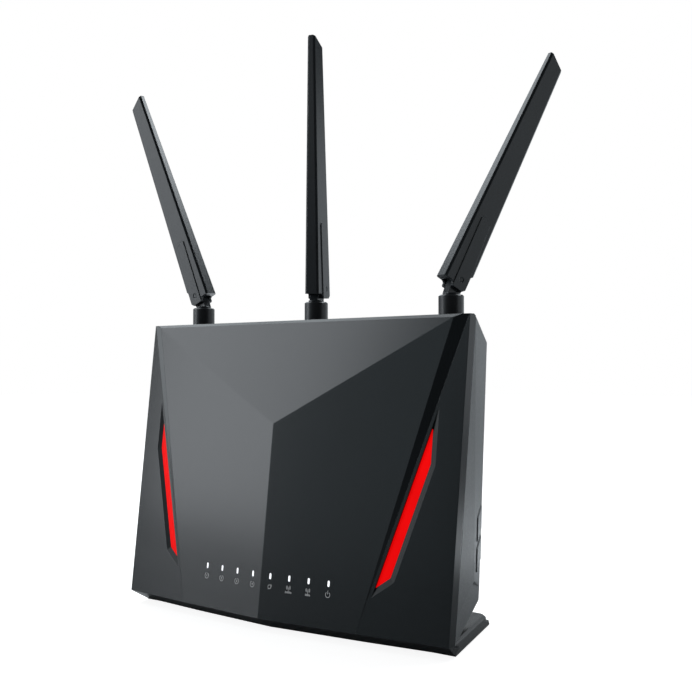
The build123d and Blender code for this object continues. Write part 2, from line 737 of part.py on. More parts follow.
def port_windows():
    """Openings in the bay's wall: one to the row of network sockets and one to each other piece."""
    low, high = BAY_Y - 2 * BAY_WALL, BAY_Y + 1

    def window(left, right, height):
        return block(
            (left - PORT_GAP, right + PORT_GAP),
            (low, high),
            (PORT_Z - height / 2 - PORT_GAP, PORT_Z + height / 2 + PORT_GAP),
        )

    cuts = [window(lan_places()[-1] - JACK_WIDTH / 2, WAN_X + WAN_WIDTH / 2, JACK_HEIGHT)]
    sizes = [(x, *USB_SHELL) for x in USB_X] + [(INLET_X, *INLET_BODY)]
    cuts += [window(x - width / 2, x + width / 2, height) for x, width, height in sizes]
    cuts.append(rod_y(POWER_X, PORT_Z, POWER_RADIUS + BUTTON_GAP, low, high))
    cuts.append(rod_y(RESET_X, PORT_Z, RESET_RADIUS + BUTTON_GAP, low, high))
    return cuts


def lan_places():
    """Middle of each network socket of the local row, from the right to the left."""
    return [LAN_FIRST_X - LAN_PITCH * i for i in range(LAN_COUNT)]


def rear_vents():
    """Slanted slots in the rear face, in rows that lean to the two sides."""
    cuts = []
    for row in range(VENT_ROWS):
        z = VENT_FIRST_Z + VENT_ROW_PITCH * row
        for column in range(VENT_COLUMNS):
            place = column - (VENT_COLUMNS - 1) / 2
            lean = VENT_TILT * (1 if place < 0 else -1 if place > 0 else 0)
            middle = Plane(
                origin=(VENT_PITCH * place, rear_y(z) + VENT_REACH, z),
                x_dir=(0, 0, 1),
                z_dir=(0, -1, 0),
            )
            slot = Rectangle(VENT_LENGTH, VENT_WIDTH)
            cuts.append(extrude(middle * Rot(0, 0, lean) * slot, amount=VENT_REACH + 2 * REAR_WALL))
    return cuts


def top_vents():
    """A row of short slots across the top, behind the antennas."""
    width, length = TOP_VENT
    first = -TOP_VENT_PITCH * (TOP_VENT_COUNT - 1) / 2
    return [
        block(
            (first + TOP_VENT_PITCH * i - width / 2, first + TOP_VENT_PITCH * i + width / 2),
            (TOP_VENT_Y - length / 2, TOP_VENT_Y + length / 2),
            (HOUSING_TOP - 2 * REAR_WALL, HOUSING_TOP + 1),
        )
        for i in range(TOP_VENT_COUNT)
    ]


def side_frame(z):
    """Frame on the right side's rear flank: x rearwards, y up, z outwards."""
    normal, origin = REAR_SIDE.z_dir, REAR_SIDE.origin
    x = (normal.dot(origin) - normal.Y * SIDE_BUTTON_Y - normal.Z * z) / normal.X
    along = Vector(-normal.Y, normal.X, 0).normalized()
    return Plane(origin=(x, SIDE_BUTTON_Y, z), x_dir=along, z_dir=normal)


def side_button_face(grow=0.0):
    """Outline of a side button: a parallelogram whose ends rise towards the rear."""
    half, tall, rise = SIDE_BUTTON_LENGTH / 2, SIDE_BUTTON_HEIGHT / 2, SIDE_BUTTON_RISE / 2
    points = [(-half, -tall - rise), (half, -tall + rise), (half, tall + rise), (-half, tall - rise)]
    face = make_face(Polyline(*points, close=True))
    return offset(face, grow, kind=Kind.INTERSECTION) if grow else face


def side_button(z):
    """Push button through the right side, with a flange that stops it from falling out."""
    frame = side_frame(z)
    depth = REAR_WALL + SIDE_BUTTON_TRAVEL
    cap = extrude(frame.offset(-depth) * side_button_face(), amount=depth + SIDE_BUTTON_PROUD)
    front = cap.faces().sort_by(Axis(frame.origin, frame.z_dir))[-1]
    cap = chamfer(front.edges(), SIDE_BUTTON_EDGE)
    seat = frame.offset(-REAR_WALL - SIDE_BUTTON_GAP - SIDE_BUTTON_FLANGE_THICKNESS)
    flange = extrude(seat * side_button_face(SIDE_BUTTON_FLANGE), amount=SIDE_BUTTON_FLANGE_THICKNESS)
    stem_seat = seat.offset(-SIDE_BUTTON_STEM)
    stem = extrude(stem_seat * Circle(SWITCH_PLUNGER_RADIUS), amount=SIDE_BUTTON_STEM)
    return cap + flange + stem


def side_board_depth():
    """Distance of the side board's outer face below the side's surface."""
    seat = REAR_WALL + SIDE_BUTTON_GAP + SIDE_BUTTON_FLANGE_THICKNESS
    free = SIDE_BUTTON_TRAVEL + SIDE_BUTTON_GAP
    return seat + SIDE_BUTTON_STEM + free + SWITCH_PLUNGER_LENGTH + SWITCH_HEIGHT


def side_board():
    """Board behind the side buttons."""
    middle = side_frame(sum(SIDE_BUTTON_Z) / 2)
    board = middle.offset(-side_board_depth() - BOARD_THICKNESS)
    return extrude(board * Rectangle(*SIDE_BOARD), amount=BOARD_THICKNESS)


def side_switches():
    """A switch with its plunger behind each side button."""
    switches = []
    for z in SIDE_BUTTON_Z:
        base = side_frame(z).offset(-side_board_depth())
        body = extrude(base * Rectangle(SWITCH_BODY, SWITCH_BODY), amount=SWITCH_HEIGHT)
        reach = SWITCH_HEIGHT + SWITCH_PLUNGER_LENGTH
        switches.append(body + extrude(base * Circle(SWITCH_PLUNGER_RADIUS), amount=reach))
    return switches


def side_board_rails():
    """Two ribs on the flank's inside that carry the side board at its ends."""
    middle = side_frame(sum(SIDE_BUTTON_Z) / 2)
    width, length = SIDE_BOARD
    rib_height, ledge_height, ledge_depth = SIDE_RAIL
    base = middle.offset(-side_board_depth() - BOARD_THICKNESS)
    rails = []
    for side in (-1, 1):
        place = side * (length + rib_height) / 2
        inner = place - side * (ledge_height - rib_height) / 2
        rib = extrude(base * Pos(0, place) * Rectangle(width, rib_height), amount=side_board_depth())
        seat = base.offset(-ledge_depth) * Pos(0, inner) * Rectangle(width, ledge_height)
        rails.append(rib + extrude(seat, amount=ledge_depth))
    return rails


def rear_cover():
    """Tapered rear shell with the mouth of its port bay, vents, posts, tubes and lip."""
    shell = rear_block() - rear_block(REAR_WALL)
    shell -= bay_block()
    posts = case_tubes() + board_bosses() + foot_bosses() + side_board_rails()
    shell += [post & rear_block(REAR_WALL / 2) for post in posts]
    shell -= case_tube_bores() + board_boss_bores() + foot_screw_bores()
    shell -= rear_vents() + top_vents()
    for z in SIDE_BUTTON_Z:
        window = side_frame(z).offset(-2 * REAR_WALL) * side_button_face(SIDE_BUTTON_GAP)
        shell -= extrude(window, amount=4 * REAR_WALL)
    low, high = HOUSING_TOP - 2 * REAR_WALL, HOUSING_TOP + 1
    shell -= [rod_z(x, ANTENNA_Y, THREAD_RADIUS + THREAD_GAP, low, high) for _, x, _, _ in ANTENNAS]
    shell -= shadow_groove()
    return shell + cover_lip()


def bay_block(wall=0.0):
    """The recess that holds the ports, open to the rear, grown by a wall."""
    half = BAY_HALF_WIDTH + wall
    return block((-half, half), (BAY_Y - wall, REACH), (BAY_BOTTOM - wall, BAY_TOP + wall))


def port_tray():
    """Tray behind the port bay's mouth, with the port windows and a flange inside the rear cover."""
    inside = rear_block(REAR_WALL + TRAY_GAP)
    deeper = rear_block(REAR_WALL + TRAY_GAP + TRAY_FLANGE)
    flange = bay_block(BAY_WALL + TRAY_FLANGE_REACH) & (inside - deeper)
    tray = bay_block(BAY_WALL) & inside
    return tray + flange - bay_block() - port_windows()


def case_tubes():
    """Tubes round the case screws."""
    end = CASE_SCREW_SEAT_Y - CASE_TUBE_FLOOR
    return [rod_y(x, z, CASE_TUBE_RADIUS, end, REACH) for x, z in case_screw_places()]


def case_tube_bores():
    """Deep seats for the heads and holes for the shanks of the case screws."""
    bores = []
    for x, z in case_screw_places():
        bores.append(rod_y(x, z, CASE_TUBE_BORE, CASE_SCREW_SEAT_Y, REACH))
        bores.append(rod_y(x, z, SCREW_RADIUS + SCREW_GAP, -1, REACH))
    return bores


def case_screws():
    """Four screws that hold the two covers together, a cross in each head."""
    seat, top = CASE_SCREW_SEAT_Y, CASE_SCREW_SEAT_Y + SCREW_HEAD_HEIGHT
    cross_depth = (top - SCREW_SLOT, top)
    screws = []
    for x, z in case_screw_places():
        head = rod_y(x, z, SCREW_HEAD_RADIUS, seat, top)
        shank = rod_y(x, z, SCREW_RADIUS, seat - CASE_SCREW_LENGTH, seat)
        narrow, wide = SCREW_SLOT / 2, SCREW_RADIUS
        upright = block((x - narrow, x + narrow), cross_depth, (z - wide, z + wide))
        level = block((x - wide, x + wide), cross_depth, (z - narrow, z + narrow))
        screws.append(head + shank - (upright + level))
    return screws


# ======================================================================================================
# Main board and what it carries
# ======================================================================================================
MAIN_BOARD_REAR_Y = MAIN_BOARD_FRONT_Y + BOARD_THICKNESS


def board_places():
    """Middle of each main board screw, x and z."""
    return [(side * BOARD_SCREW_X, z) for side in (-1, 1) for z in BOARD_SCREW_Z]


def board_bosses():
    """Posts on the rear cover that carry the main board."""
    return [rod_y(x, z, BOSS_RADIUS, MAIN_BOARD_REAR_Y, REACH) for x, z in board_places()]


def board_boss_bores():
    """Screw holes in the posts."""
    low, high = MAIN_BOARD_REAR_Y - 1, MAIN_BOARD_REAR_Y + BOARD_BORE_LENGTH
    return [rod_y(x, z, SCREW_RADIUS, low, high) for x, z in board_places()]


def main_board():
    """Upright board with its screw holes."""
    board = block(
        (-MAIN_BOARD_HALF_WIDTH, MAIN_BOARD_HALF_WIDTH),
        (MAIN_BOARD_FRONT_Y, MAIN_BOARD_REAR_Y),
        (MAIN_BOARD_BOTTOM, MAIN_BOARD_TOP),
    )
    holes = [
        rod_y(x, z, SCREW_RADIUS + SCREW_GAP, MAIN_BOARD_FRONT_Y - 1, MAIN_BOARD_REAR_Y + 1)
        for x, z in board_places()
    ]
    return board - holes


def board_screws():
    """Screws that hold the main board on its posts, put in from the front."""
    seat = MAIN_BOARD_FRONT_Y
    return [
        rod_y(x, z, SCREW_HEAD_RADIUS, seat - SCREW_HEAD_HEIGHT, seat)
        + rod_y(x, z, SCREW_RADIUS, seat, seat + BOARD_SCREW_LENGTH)
        for x, z in board_places()
    ]


def heatsink():
    """Finned aluminium block on the processor."""
    width, height = HEATSINK_SIZE
    seat = MAIN_BOARD_FRONT_Y - CHIP_HEIGHT
    root = seat - HEATSINK_BASE
    span = (HEATSINK_Z - height / 2, HEATSINK_Z + height / 2)
    base = block((-width / 2, width / 2), (root, seat), span)
    step = (width - HEATSINK_FIN_THICKNESS) / (HEATSINK_FIN_COUNT - 1)
    starts = [step * i - width / 2 for i in range(HEATSINK_FIN_COUNT)]
    fins = [
        block((low, low + HEATSINK_FIN_THICKNESS), (root - HEATSINK_FIN_HEIGHT, root), span)
        for low in starts
    ]
    return base + fins


def board_chips():
    """Processor under the heatsink, two memories and a network chip on the board's front."""
    memory = [(MEMORY_X, HEATSINK_Z + side * MEMORY_PITCH / 2, *MEMORY_SIZE) for side in (-1, 1)]
    processor = (0.0, HEATSINK_Z, PROCESSOR_SIZE, PROCESSOR_SIZE)
    network = (*SWITCH_CHIP, SWITCH_CHIP_SIZE, SWITCH_CHIP_SIZE)
    depth = (MAIN_BOARD_FRONT_Y - CHIP_HEIGHT, MAIN_BOARD_FRONT_Y)
    return [
        block((x - width / 2, x + width / 2), depth, (z - height / 2, z + height / 2))
        for x, z, width, height in [processor, network, *memory]
    ]


def radio_shields():
    """Folded cans over the two radios on the board's rear."""
    width, height, depth = SHIELD_CAN_SIZE

    def can(x, skin, low, high):
        return block(
            (x - width / 2 + skin, x + width / 2 - skin),
            (low, high),
            (SHIELD_CAN_Z - height / 2 + skin, SHIELD_CAN_Z + height / 2 - skin),
        )

    seat, top = MAIN_BOARD_REAR_Y, MAIN_BOARD_REAR_Y + depth
    return [
        can(x, 0.0, seat, top) - can(x, SHIELD_CAN_SKIN, seat - 1, top - SHIELD_CAN_SKIN)
        for x in (-SHIELD_CAN_X, SHIELD_CAN_X)
    ]


def network_jack(x, width):
    """Network socket that stands on the board and opens to the rear, latch slot below."""
    mouth = BAY_Y + PORT_PROUD
    low, high = PORT_Z - JACK_HEIGHT / 2, PORT_Z + JACK_HEIGHT / 2
    body = block((x - width / 2, x + width / 2), (MAIN_BOARD_REAR_Y, mouth), (low, high))
    depth = (mouth - SOCKET_DEPTH, mouth + 1)
    top = PORT_Z + SOCKET_HEIGHT / 2 + SOCKET_DROP
    floor = top - SOCKET_HEIGHT
    hollow = block((x - SOCKET_WIDTH / 2, x + SOCKET_WIDTH / 2), depth, (floor, top))
    for step_width, drop in LATCH_WIDTHS:
        hollow += block((x - step_width / 2, x + step_width / 2), depth, (floor - drop, floor))
        floor -= drop
    return body - hollow


def usb_port(x):
    """Metal USB shell with its contact tongue, open to the rear."""
    width, height = USB_SHELL
    mouth = BAY_Y + PORT_PROUD
    back = mouth - USB_DEPTH
    wall = back + USB_BACK_WALL

    def shell(inset, low, high):
        return block(
            (x - width / 2 + inset, x + width / 2 - inset),
            (low, high),
            (PORT_Z - height / 2 + inset, PORT_Z + height / 2 - inset),
        )

    tongue_width, tongue_height = USB_TONGUE
    tongue_top = PORT_Z + height / 2 - USB_SKIN - USB_TONGUE_DROP
    tongue = block(
        (x - tongue_width / 2, x + tongue_width / 2),
        (wall - 1, wall + USB_TONGUE_DEPTH),
        (tongue_top - tongue_height, tongue_top),
    )
    body = shell(0.0, back, mouth) - shell(USB_SKIN, wall, mouth + 1)
    return body + tongue + shell(USB_FOOT_INSET, MAIN_BOARD_REAR_Y, back + 1)


def dc_inlet():
    """Round power inlet with its centre pin."""
    width, height = INLET_BODY
    mouth = BAY_Y + PORT_PROUD
    floor = mouth - INLET_BORE_DEPTH
    body = block(
        (INLET_X - width / 2, INLET_X + width / 2),
        (MAIN_BOARD_REAR_Y, mouth),
        (PORT_Z - height / 2, PORT_Z + height / 2),
    )
    body -= rod_y(INLET_X, PORT_Z, INLET_BORE_RADIUS, floor, mouth + 1)
    return body + rod_y(INLET_X, PORT_Z, INLET_PIN_RADIUS, floor - 1, mouth - INLET_PIN_RECESS)


def power_button():
    """Round push button with its flange and its stem towards the switch."""
    rear = BAY_Y - BAY_WALL - BUTTON_GAP
    front = rear - POWER_FLANGE
    cap = rod_y(POWER_X, PORT_Z, POWER_RADIUS, front, BAY_Y + POWER_PROUD)
    cap = chamfer(cap.edges().filter_by(GeomType.CIRCLE).sort_by(Axis.Y)[-1], POWER_EDGE)
    flange = rod_y(POWER_X, PORT_Z, POWER_RADIUS + POWER_FLANGE_REACH, front, rear)
    stem = rod_y(POWER_X, PORT_Z, POWER_STEM_RADIUS, front - BUTTON_STEM, front)
    return cap + flange + stem


def power_switch_top():
    """Rear end of the power switch's plunger."""
    stem_end = BAY_Y - BAY_WALL - BUTTON_GAP - POWER_FLANGE - BUTTON_STEM
    return stem_end - POWER_TRAVEL - BUTTON_GAP


def board_switch(x, end, size, radius):
    """Switch on the board whose plunger ends behind a button."""
    base = end - PLUNGER_LENGTH
    body = block(
        (x - size / 2, x + size / 2),
        (MAIN_BOARD_REAR_Y, base),
        (PORT_Z - size / 2, PORT_Z + size / 2),
    )
    return body + rod_y(x, PORT_Z, radius, base - 0.5, end)


def reset_button():
    """Small recessed push pin with a collar and a stem."""
    rear = BAY_Y - BAY_WALL - BUTTON_GAP
    front = rear - RESET_COLLAR
    pin = rod_y(RESET_X, PORT_Z, RESET_RADIUS, front - BUTTON_STEM, BAY_Y - RESET_RECESS)
    return pin + rod_y(RESET_X, PORT_Z, RESET_RADIUS + RESET_COLLAR_REACH, front, rear)


def reset_switch_top():
    """Rear end of the reset switch's plunger."""
    stem_end = BAY_Y - BAY_WALL - BUTTON_GAP - RESET_COLLAR - BUTTON_STEM
    return stem_end - RESET_TRAVEL - BUTTON_GAP


def push_switches():
    """The switches behind the power and the reset button."""
    return [
        board_switch(POWER_X, power_switch_top(), POWER_SWITCH_SIZE, POWER_STEM_RADIUS),
        board_switch(RESET_X, reset_switch_top(), RESET_SWITCH_SIZE, RESET_RADIUS),
    ]


# ======================================================================================================
# Foot
# ======================================================================================================
def foot_face(inset=0.0, radius=0.0):
    """Outline of the foot, narrowing to the rear, with optional round rear corners."""
    (front_x, front_y), (back_x, back_y) = FOOT_FRONT, FOOT_REAR
    points = [(-front_x, front_y), (front_x, front_y), (back_x, back_y), (-back_x, back_y)]
    face = make_face(Polyline(*points, close=True))
    if inset:
        face = offset(face, -inset, kind=Kind.INTERSECTION)
    if radius:
        face = fillet(face.vertices().sort_by(Axis.Y)[-2:], radius)
    return face


def foot_base():
    """Flared plate foot with round rear corners above its rim, a pedestal and a hollow underside."""
    rim = extrude(foot_face(), amount=FOOT_RIM, taper=FOOT_FLARE)
    inset = FOOT_RIM * tan(radians(FOOT_FLARE))
    plate = foot_face(inset, FOOT_CORNER_RADIUS)
    plate = extrude(Pos(0, 0, FOOT_RIM) * plate, amount=FOOT_TOP - FOOT_RIM, taper=FOOT_FLARE)
    plate = chamfer(plate.edges().group_by(Axis.Z)[-1], FOOT_EDGE)
    pedestal = block(
        (-PEDESTAL_HALF_WIDTH, PEDESTAL_HALF_WIDTH),
        (PEDESTAL_FRONT_Y, PEDESTAL_REAR_Y),
        (FOOT_RIM, REACH),
    )
    pedestal = fillet(pedestal.edges().filter_by(Axis.Z), PEDESTAL_RADIUS)
    pedestal = split(pedestal, bisect_by=UNDERSIDE, keep=Keep.TOP)
    hollow = extrude(foot_face(FOOT_WALL, FOOT_CORNER_RADIUS), amount=FOOT_HOLLOW)
    body = rim + plate + pedestal - hollow
    body += [rod_z(x, y, PAD_RADIUS + PAD_WALL, 0, FOOT_HOLLOW) for x, y in pad_places()]
    body += [rod_z(x, y, BOSS_RADIUS + FOOT_BOSS_WALL, 0, FOOT_HOLLOW) for x, y in foot_screw_places()]
    body += foot_ribs()
    body -= [rod_z(x, y, PAD_RADIUS, -1, PAD_RECESS) for x, y in pad_places()]
    for x, y in foot_screw_places():
        body -= rod_z(x, y, SCREW_RADIUS + SCREW_GAP, -1, REACH)
        body -= rod_z(x, y, SCREW_HEAD_RADIUS + SCREW_GAP, -1, FOOT_HOLLOW)
    return body


def foot_ribs():
    """Ribs under the plate, from its front to its rear wall."""
    depth = (FOOT_FRONT[1] + FOOT_RIB_END, FOOT_REAR[1] - FOOT_RIB_END)
    return [block((x - FOOT_RIB / 2, x + FOOT_RIB / 2), depth, (0, FOOT_HOLLOW)) for x in FOOT_RIB_X]


def pad_places():
    """Middle of each rubber pad."""
    return [(side * x, y) for x, y in PAD_PLACES for side in (-1, 1)]


def rubber_pads():
    """Four round pads let into the foot, level with its rim."""
    return [rod_z(x, y, PAD_RADIUS - PAD_GAP, 0, PAD_RECESS) for x, y in pad_places()]


def foot_screw_places():
    """Middle of each foot screw."""
    return [(side * x, y) for x, y in FOOT_SCREW_PLACES for side in (-1, 1)]


def foot_screws():
    """Screws that hold the foot under the rear cover."""
    screws = []
    for x, y in foot_screw_places():
        head = rod_z(x, y, SCREW_HEAD_RADIUS, FOOT_HOLLOW - SCREW_HEAD_HEIGHT, FOOT_HOLLOW)
        top = underside_z(y) + FOOT_SCREW_LENGTH
        screws.append(head + rod_z(x, y, SCREW_RADIUS, FOOT_HOLLOW - 0.5, top))
    return screws


def foot_bosses():
    """Posts inside the rear cover that take the foot screws."""
    reach = FOOT_SCREW_LENGTH + FOOT_BOSS_END
    return [rod_z(x, y, BOSS_RADIUS, 0, underside_z(y) + reach) for x, y in foot_screw_places()]


def foot_screw_bores():
    """Holes for the foot screws in the rear cover."""
    return [
        rod_z(x, y, SCREW_RADIUS, 0, underside_z(y) + FOOT_SCREW_LENGTH)
        for x, y in foot_screw_places()
    ]


# ======================================================================================================
# Antennas, in their own frame: swivel axis up through the origin, housing top at 0, folding towards +X
# ======================================================================================================
def antenna_connector():
    """Threaded connector with its flange under the housing's top and a tail for the lead."""
    radius, thick = CONNECTOR_FLANGE
    seat = -REAR_WALL - thick
    barrel = rod_z(0, 0, THREAD_RADIUS, seat, CONNECTOR_TOP)
    barrel -= rod_z(0, 0, CONNECTOR_TAIL_RADIUS, CONNECTOR_TOP - CONNECTOR_SOCKET, CONNECTOR_TOP)
    flange = extrude(Plane.XY.offset(seat) * RegularPolygon(radius, 6), amount=thick)
    return barrel + flange + rod_z(0, 0, CONNECTOR_TAIL_RADIUS, -REAR_WALL - CONNECTOR_TAIL, seat)


def connector_nut():
    """Thin ring nut on the housing's top, inside the collar's skirt."""
    nut = rod_z(0, 0, NUT_RADIUS, 0, NUT_THICKNESS)
    return nut - rod_z(0, 0, THREAD_RADIUS + THREAD_GAP, -1, REACH)


def collar():
    """Turned collar that screws on the connector and keeps the swivel neck."""
    outer, gap, edge = COLLAR_RADIUS, COLLAR_GAP, COLLAR_CHAMFER
    bore = THREAD_RADIUS + THREAD_GAP
    nut_room = NUT_RADIUS + gap
    flange_room = NECK_FLANGE_RADIUS + NECK_GAP
    neck_room = NECK_RADIUS + NECK_GAP
    shelf_low, shelf_high = NUT_THICKNESS + gap, NECK_FLANGE[0] - NECK_PLAY
    lip_low = NECK_FLANGE[1] + NECK_PLAY
    half = [
        (nut_room, gap), (outer, gap), (outer, COLLAR_TOP - edge), (outer - edge, COLLAR_TOP),
        (neck_room, COLLAR_TOP), (neck_room, lip_low), (flange_room, lip_low),
        (flange_room, shelf_high), (bore, shelf_high), (bore, shelf_low), (nut_room, shelf_low),
    ]
    return revolve(Plane.XZ * make_face(Polyline(*half, close=True)), axis=Axis.Z)


def knuckle():
    """Swivel neck with its flange and the tongue that carries the hinge pin."""
    low, high = NECK_FLANGE
    half = [
        (0, low), (NECK_FLANGE_RADIUS, low), (NECK_FLANGE_RADIUS, high), (NECK_RADIUS, high),
        (NECK_RADIUS, NECK_TOP), (0, NECK_TOP),
    ]
    neck = revolve(Plane.XZ * make_face(Polyline(*half, close=True)), axis=Axis.Z)
    root, foot = NECK_RADIUS - TONGUE_SET_IN, NECK_TOP - TONGUE_SET_IN
    near, far = HINGE_OFFSET + TONGUE_RADIUS, HINGE_OFFSET - TONGUE_RADIUS
    top = HINGE_HEIGHT + TONGUE_RADIUS
    outline = [
        (-root, foot), (root, foot), (near, HINGE_HEIGHT - TONGUE_SHOULDER), (near, top),
        (far, top), (far, HINGE_HEIGHT),
    ]
    face = make_face(Polyline(*outline, close=True))
    face = fillet(face.vertices().group_by(Axis.Y)[-1], TONGUE_RADIUS - TONGUE_FLAT)
    tongue = extrude(Plane.XZ.offset(-TONGUE_THICKNESS / 2) * face, amount=TONGUE_THICKNESS)
    return neck + tongue - hinge_rod(PIN_RADIUS + PIN_GAP, REACH)


def hinge_rod(radius, length):
    """A rod on the hinge axis."""
    return Pos(HINGE_OFFSET, 0, HINGE_HEIGHT) * Rot(90, 0, 0) * Cylinder(radius, length)


def blade_half_thickness(height):
    """Half the blade's thickness at a height above the pin."""
    return BLADE_HALF_ROOT + (BLADE_HALF_TIP - BLADE_HALF_ROOT) * height / BLADE_LENGTH


def wedge(face, rise=0.0):
    """Extrude a side outline to both sides and trim it to the blade's taper."""
    solid = extrude(face, amount=BLADE_HALF_ROOT * 2, both=True)
    for side in (-1, 1):
        low, high = blade_half_thickness(0) + rise, blade_half_thickness(BLADE_LENGTH) + rise
        plane = plane_through(
            (0, side * low, 0), (1, side * low, 0), (0, side * high, BLADE_LENGTH), (0, side, 0)
        )
        solid = trim(solid, [plane])
    return solid


def blade_face():
    """Side outline of the blade with its ears, pin at the origin."""
    open_side, fold_side = BLADE_ROOT
    ear_open, ear_fold = EAR_REACH
    notch_low, notch_high = EAR_NOTCH
    tip_open = (-BLADE_TIP[0], BLADE_LENGTH + BLADE_TIP_SLANT)
    tip_fold = (BLADE_TIP[1], BLADE_LENGTH - BLADE_TIP_SLANT)
    low, cut = -EAR_DEPTH, EAR_CUT
    scoop_start = (-ear_open - EAR_SCOOP, -BLADE_HEM)
    points = [
        (-ear_open, -BLADE_HEM - EAR_SCOOP), (-ear_open + EAR_DRAFT, low), (ear_fold - cut, low),
        (ear_fold, low + cut), (ear_fold, notch_low), (fold_side - 1, notch_high - 1),
        (fold_side, notch_high), tip_fold, tip_open, (-open_side, -BLADE_HEM), scoop_start,
    ]
    lines = [Polyline(*points), JernArc(scoop_start, (1, 0), EAR_SCOOP, -90)]
    return Plane.XZ * make_face(lines)


def cheek_face():
    """Outline of the raised cheek that runs up from the ears."""
    ear_open, ear_fold = EAR_REACH
    inner, outer = CHEEK_REACH
    high, low = CHEEK_TOP
    points = [
        (-ear_open + EAR_DRAFT, -EAR_DEPTH), (ear_fold - EAR_CUT, -EAR_DEPTH),
        (ear_fold, -EAR_DEPTH + EAR_CUT), (ear_fold, EAR_NOTCH[0]), (outer, low),
        (-inner + 1, high), (-inner, high - 1), (-ear_open, -BLADE_HEM - EAR_SCOOP),
    ]
    return Plane.XZ * make_face(Polyline(*points, close=True))


def fork_void():
    """Room between the ears for the tongue, open downwards and to the folding side."""
    half = TONGUE_THICKNESS / 2 + TONGUE_GAP
    room = Rot(90, 0, 0) * Cylinder(FORK_RADIUS, 2 * half)
    room += block((-FORK_REACH, FORK_REACH), (-half, half), (-FORK_REACH, -BLADE_HEM))
    return room + block((0, FORK_REACH), (-half, half), (-FORK_REACH, EAR_NOTCH[0]))


def blade():
    """Tapered paddle with a slanted tip, forked root, raised cheeks and a slot for the element."""
    paddle = wedge(blade_face())
    long_edges = paddle.edges().filter_by(lambda edge: edge.length > BLADE_LENGTH / 2)
    body = chamfer(long_edges, BLADE_EDGE) + wedge(cheek_face(), CHEEK_RISE)
    body -= fork_void()
    body -= Rot(90, 0, 0) * Cylinder(PIN_RADIUS + PIN_GAP / 2, REACH)
    width, thick, length = [value / 2 + ELEMENT_GAP for value in ELEMENT_SIZE]
    middle = ELEMENT_START + ELEMENT_SIZE[2] / 2
    return body - block((-width, width), (-thick, thick), (middle - length, middle + length))


def antenna_element():
    """Flat radiating board inside the blade."""
    width, thick, length = ELEMENT_SIZE
    span = (ELEMENT_START, ELEMENT_START + length)
    return block((-width / 2, width / 2), (-thick / 2, thick / 2), span)


def hinge_pin():
    """Pin through both ears and the tongue."""
    half = blade_half_thickness(0) + CHEEK_RISE - PIN_SET_IN
    pin = Rot(90, 0, 0) * Cylinder(PIN_RADIUS, 2 * half)
    return chamfer(pin.edges().filter_by(GeomType.CIRCLE), PIN_EDGE)


def antenna_place(x, swivel):
    """From the antenna's own frame to the router's."""
    return Pos(x, ANTENNA_Y, HOUSING_TOP) * Rot(0, 0, swivel)


def tilted(tilt):
    """From the blade's frame, pin at the origin, to the antenna's own frame."""
    return Pos(HINGE_OFFSET, 0, HINGE_HEIGHT) * Rot(0, tilt, 0)


def coax_lead(x):
    """Lead from a connector's tail down to its plug on the main board."""
    start = HOUSING_TOP - REAR_WALL - CONNECTOR_TAIL
    inner_x = x * COAX_INWARD
    seat = MAIN_BOARD_REAR_Y + COAX_PLUG[1]
    end = (inner_x, seat + COAX_RADIUS, MAIN_BOARD_TOP - COAX_DROP)
    points = [
        (x, ANTENNA_Y, start),
        (x, ANTENNA_Y, start - COAX_STRAIGHT),
        (inner_x, seat + COAX_RADIUS + COAX_BOW, MAIN_BOARD_TOP - COAX_STRAIGHT),
        end,
    ]
    path = FilletPolyline(*points, radius=COAX_BEND)
    section = RegularPolygon(COAX_RADIUS, COAX_SIDES)
    lead = sweep(Plane(origin=path @ 0, z_dir=path % 0) * section, path=path)
    width, _, height = COAX_PLUG
    plug = block(
        (inner_x - width / 2, inner_x + width / 2),
        (MAIN_BOARD_REAR_Y, seat + 2 * COAX_RADIUS),
        (end[2] - height, end[2]),
    )
    return lead + plug


# ======================================================================================================
# Writing out
# ======================================================================================================
def as_one(shape):
    """A single shape to write, from one solid, a compound or a list of them."""
    parts = shape if isinstance(shape, list) else [shape]
    solids = [solid for part in parts for solid in part.solids()]
    return solids[0] if len(solids) == 1 else Compound(children=solids)


def write(name, shape):
    """Write a piece as a STEP file."""
    export_step(as_one(shape), f"parts/{name}.step")


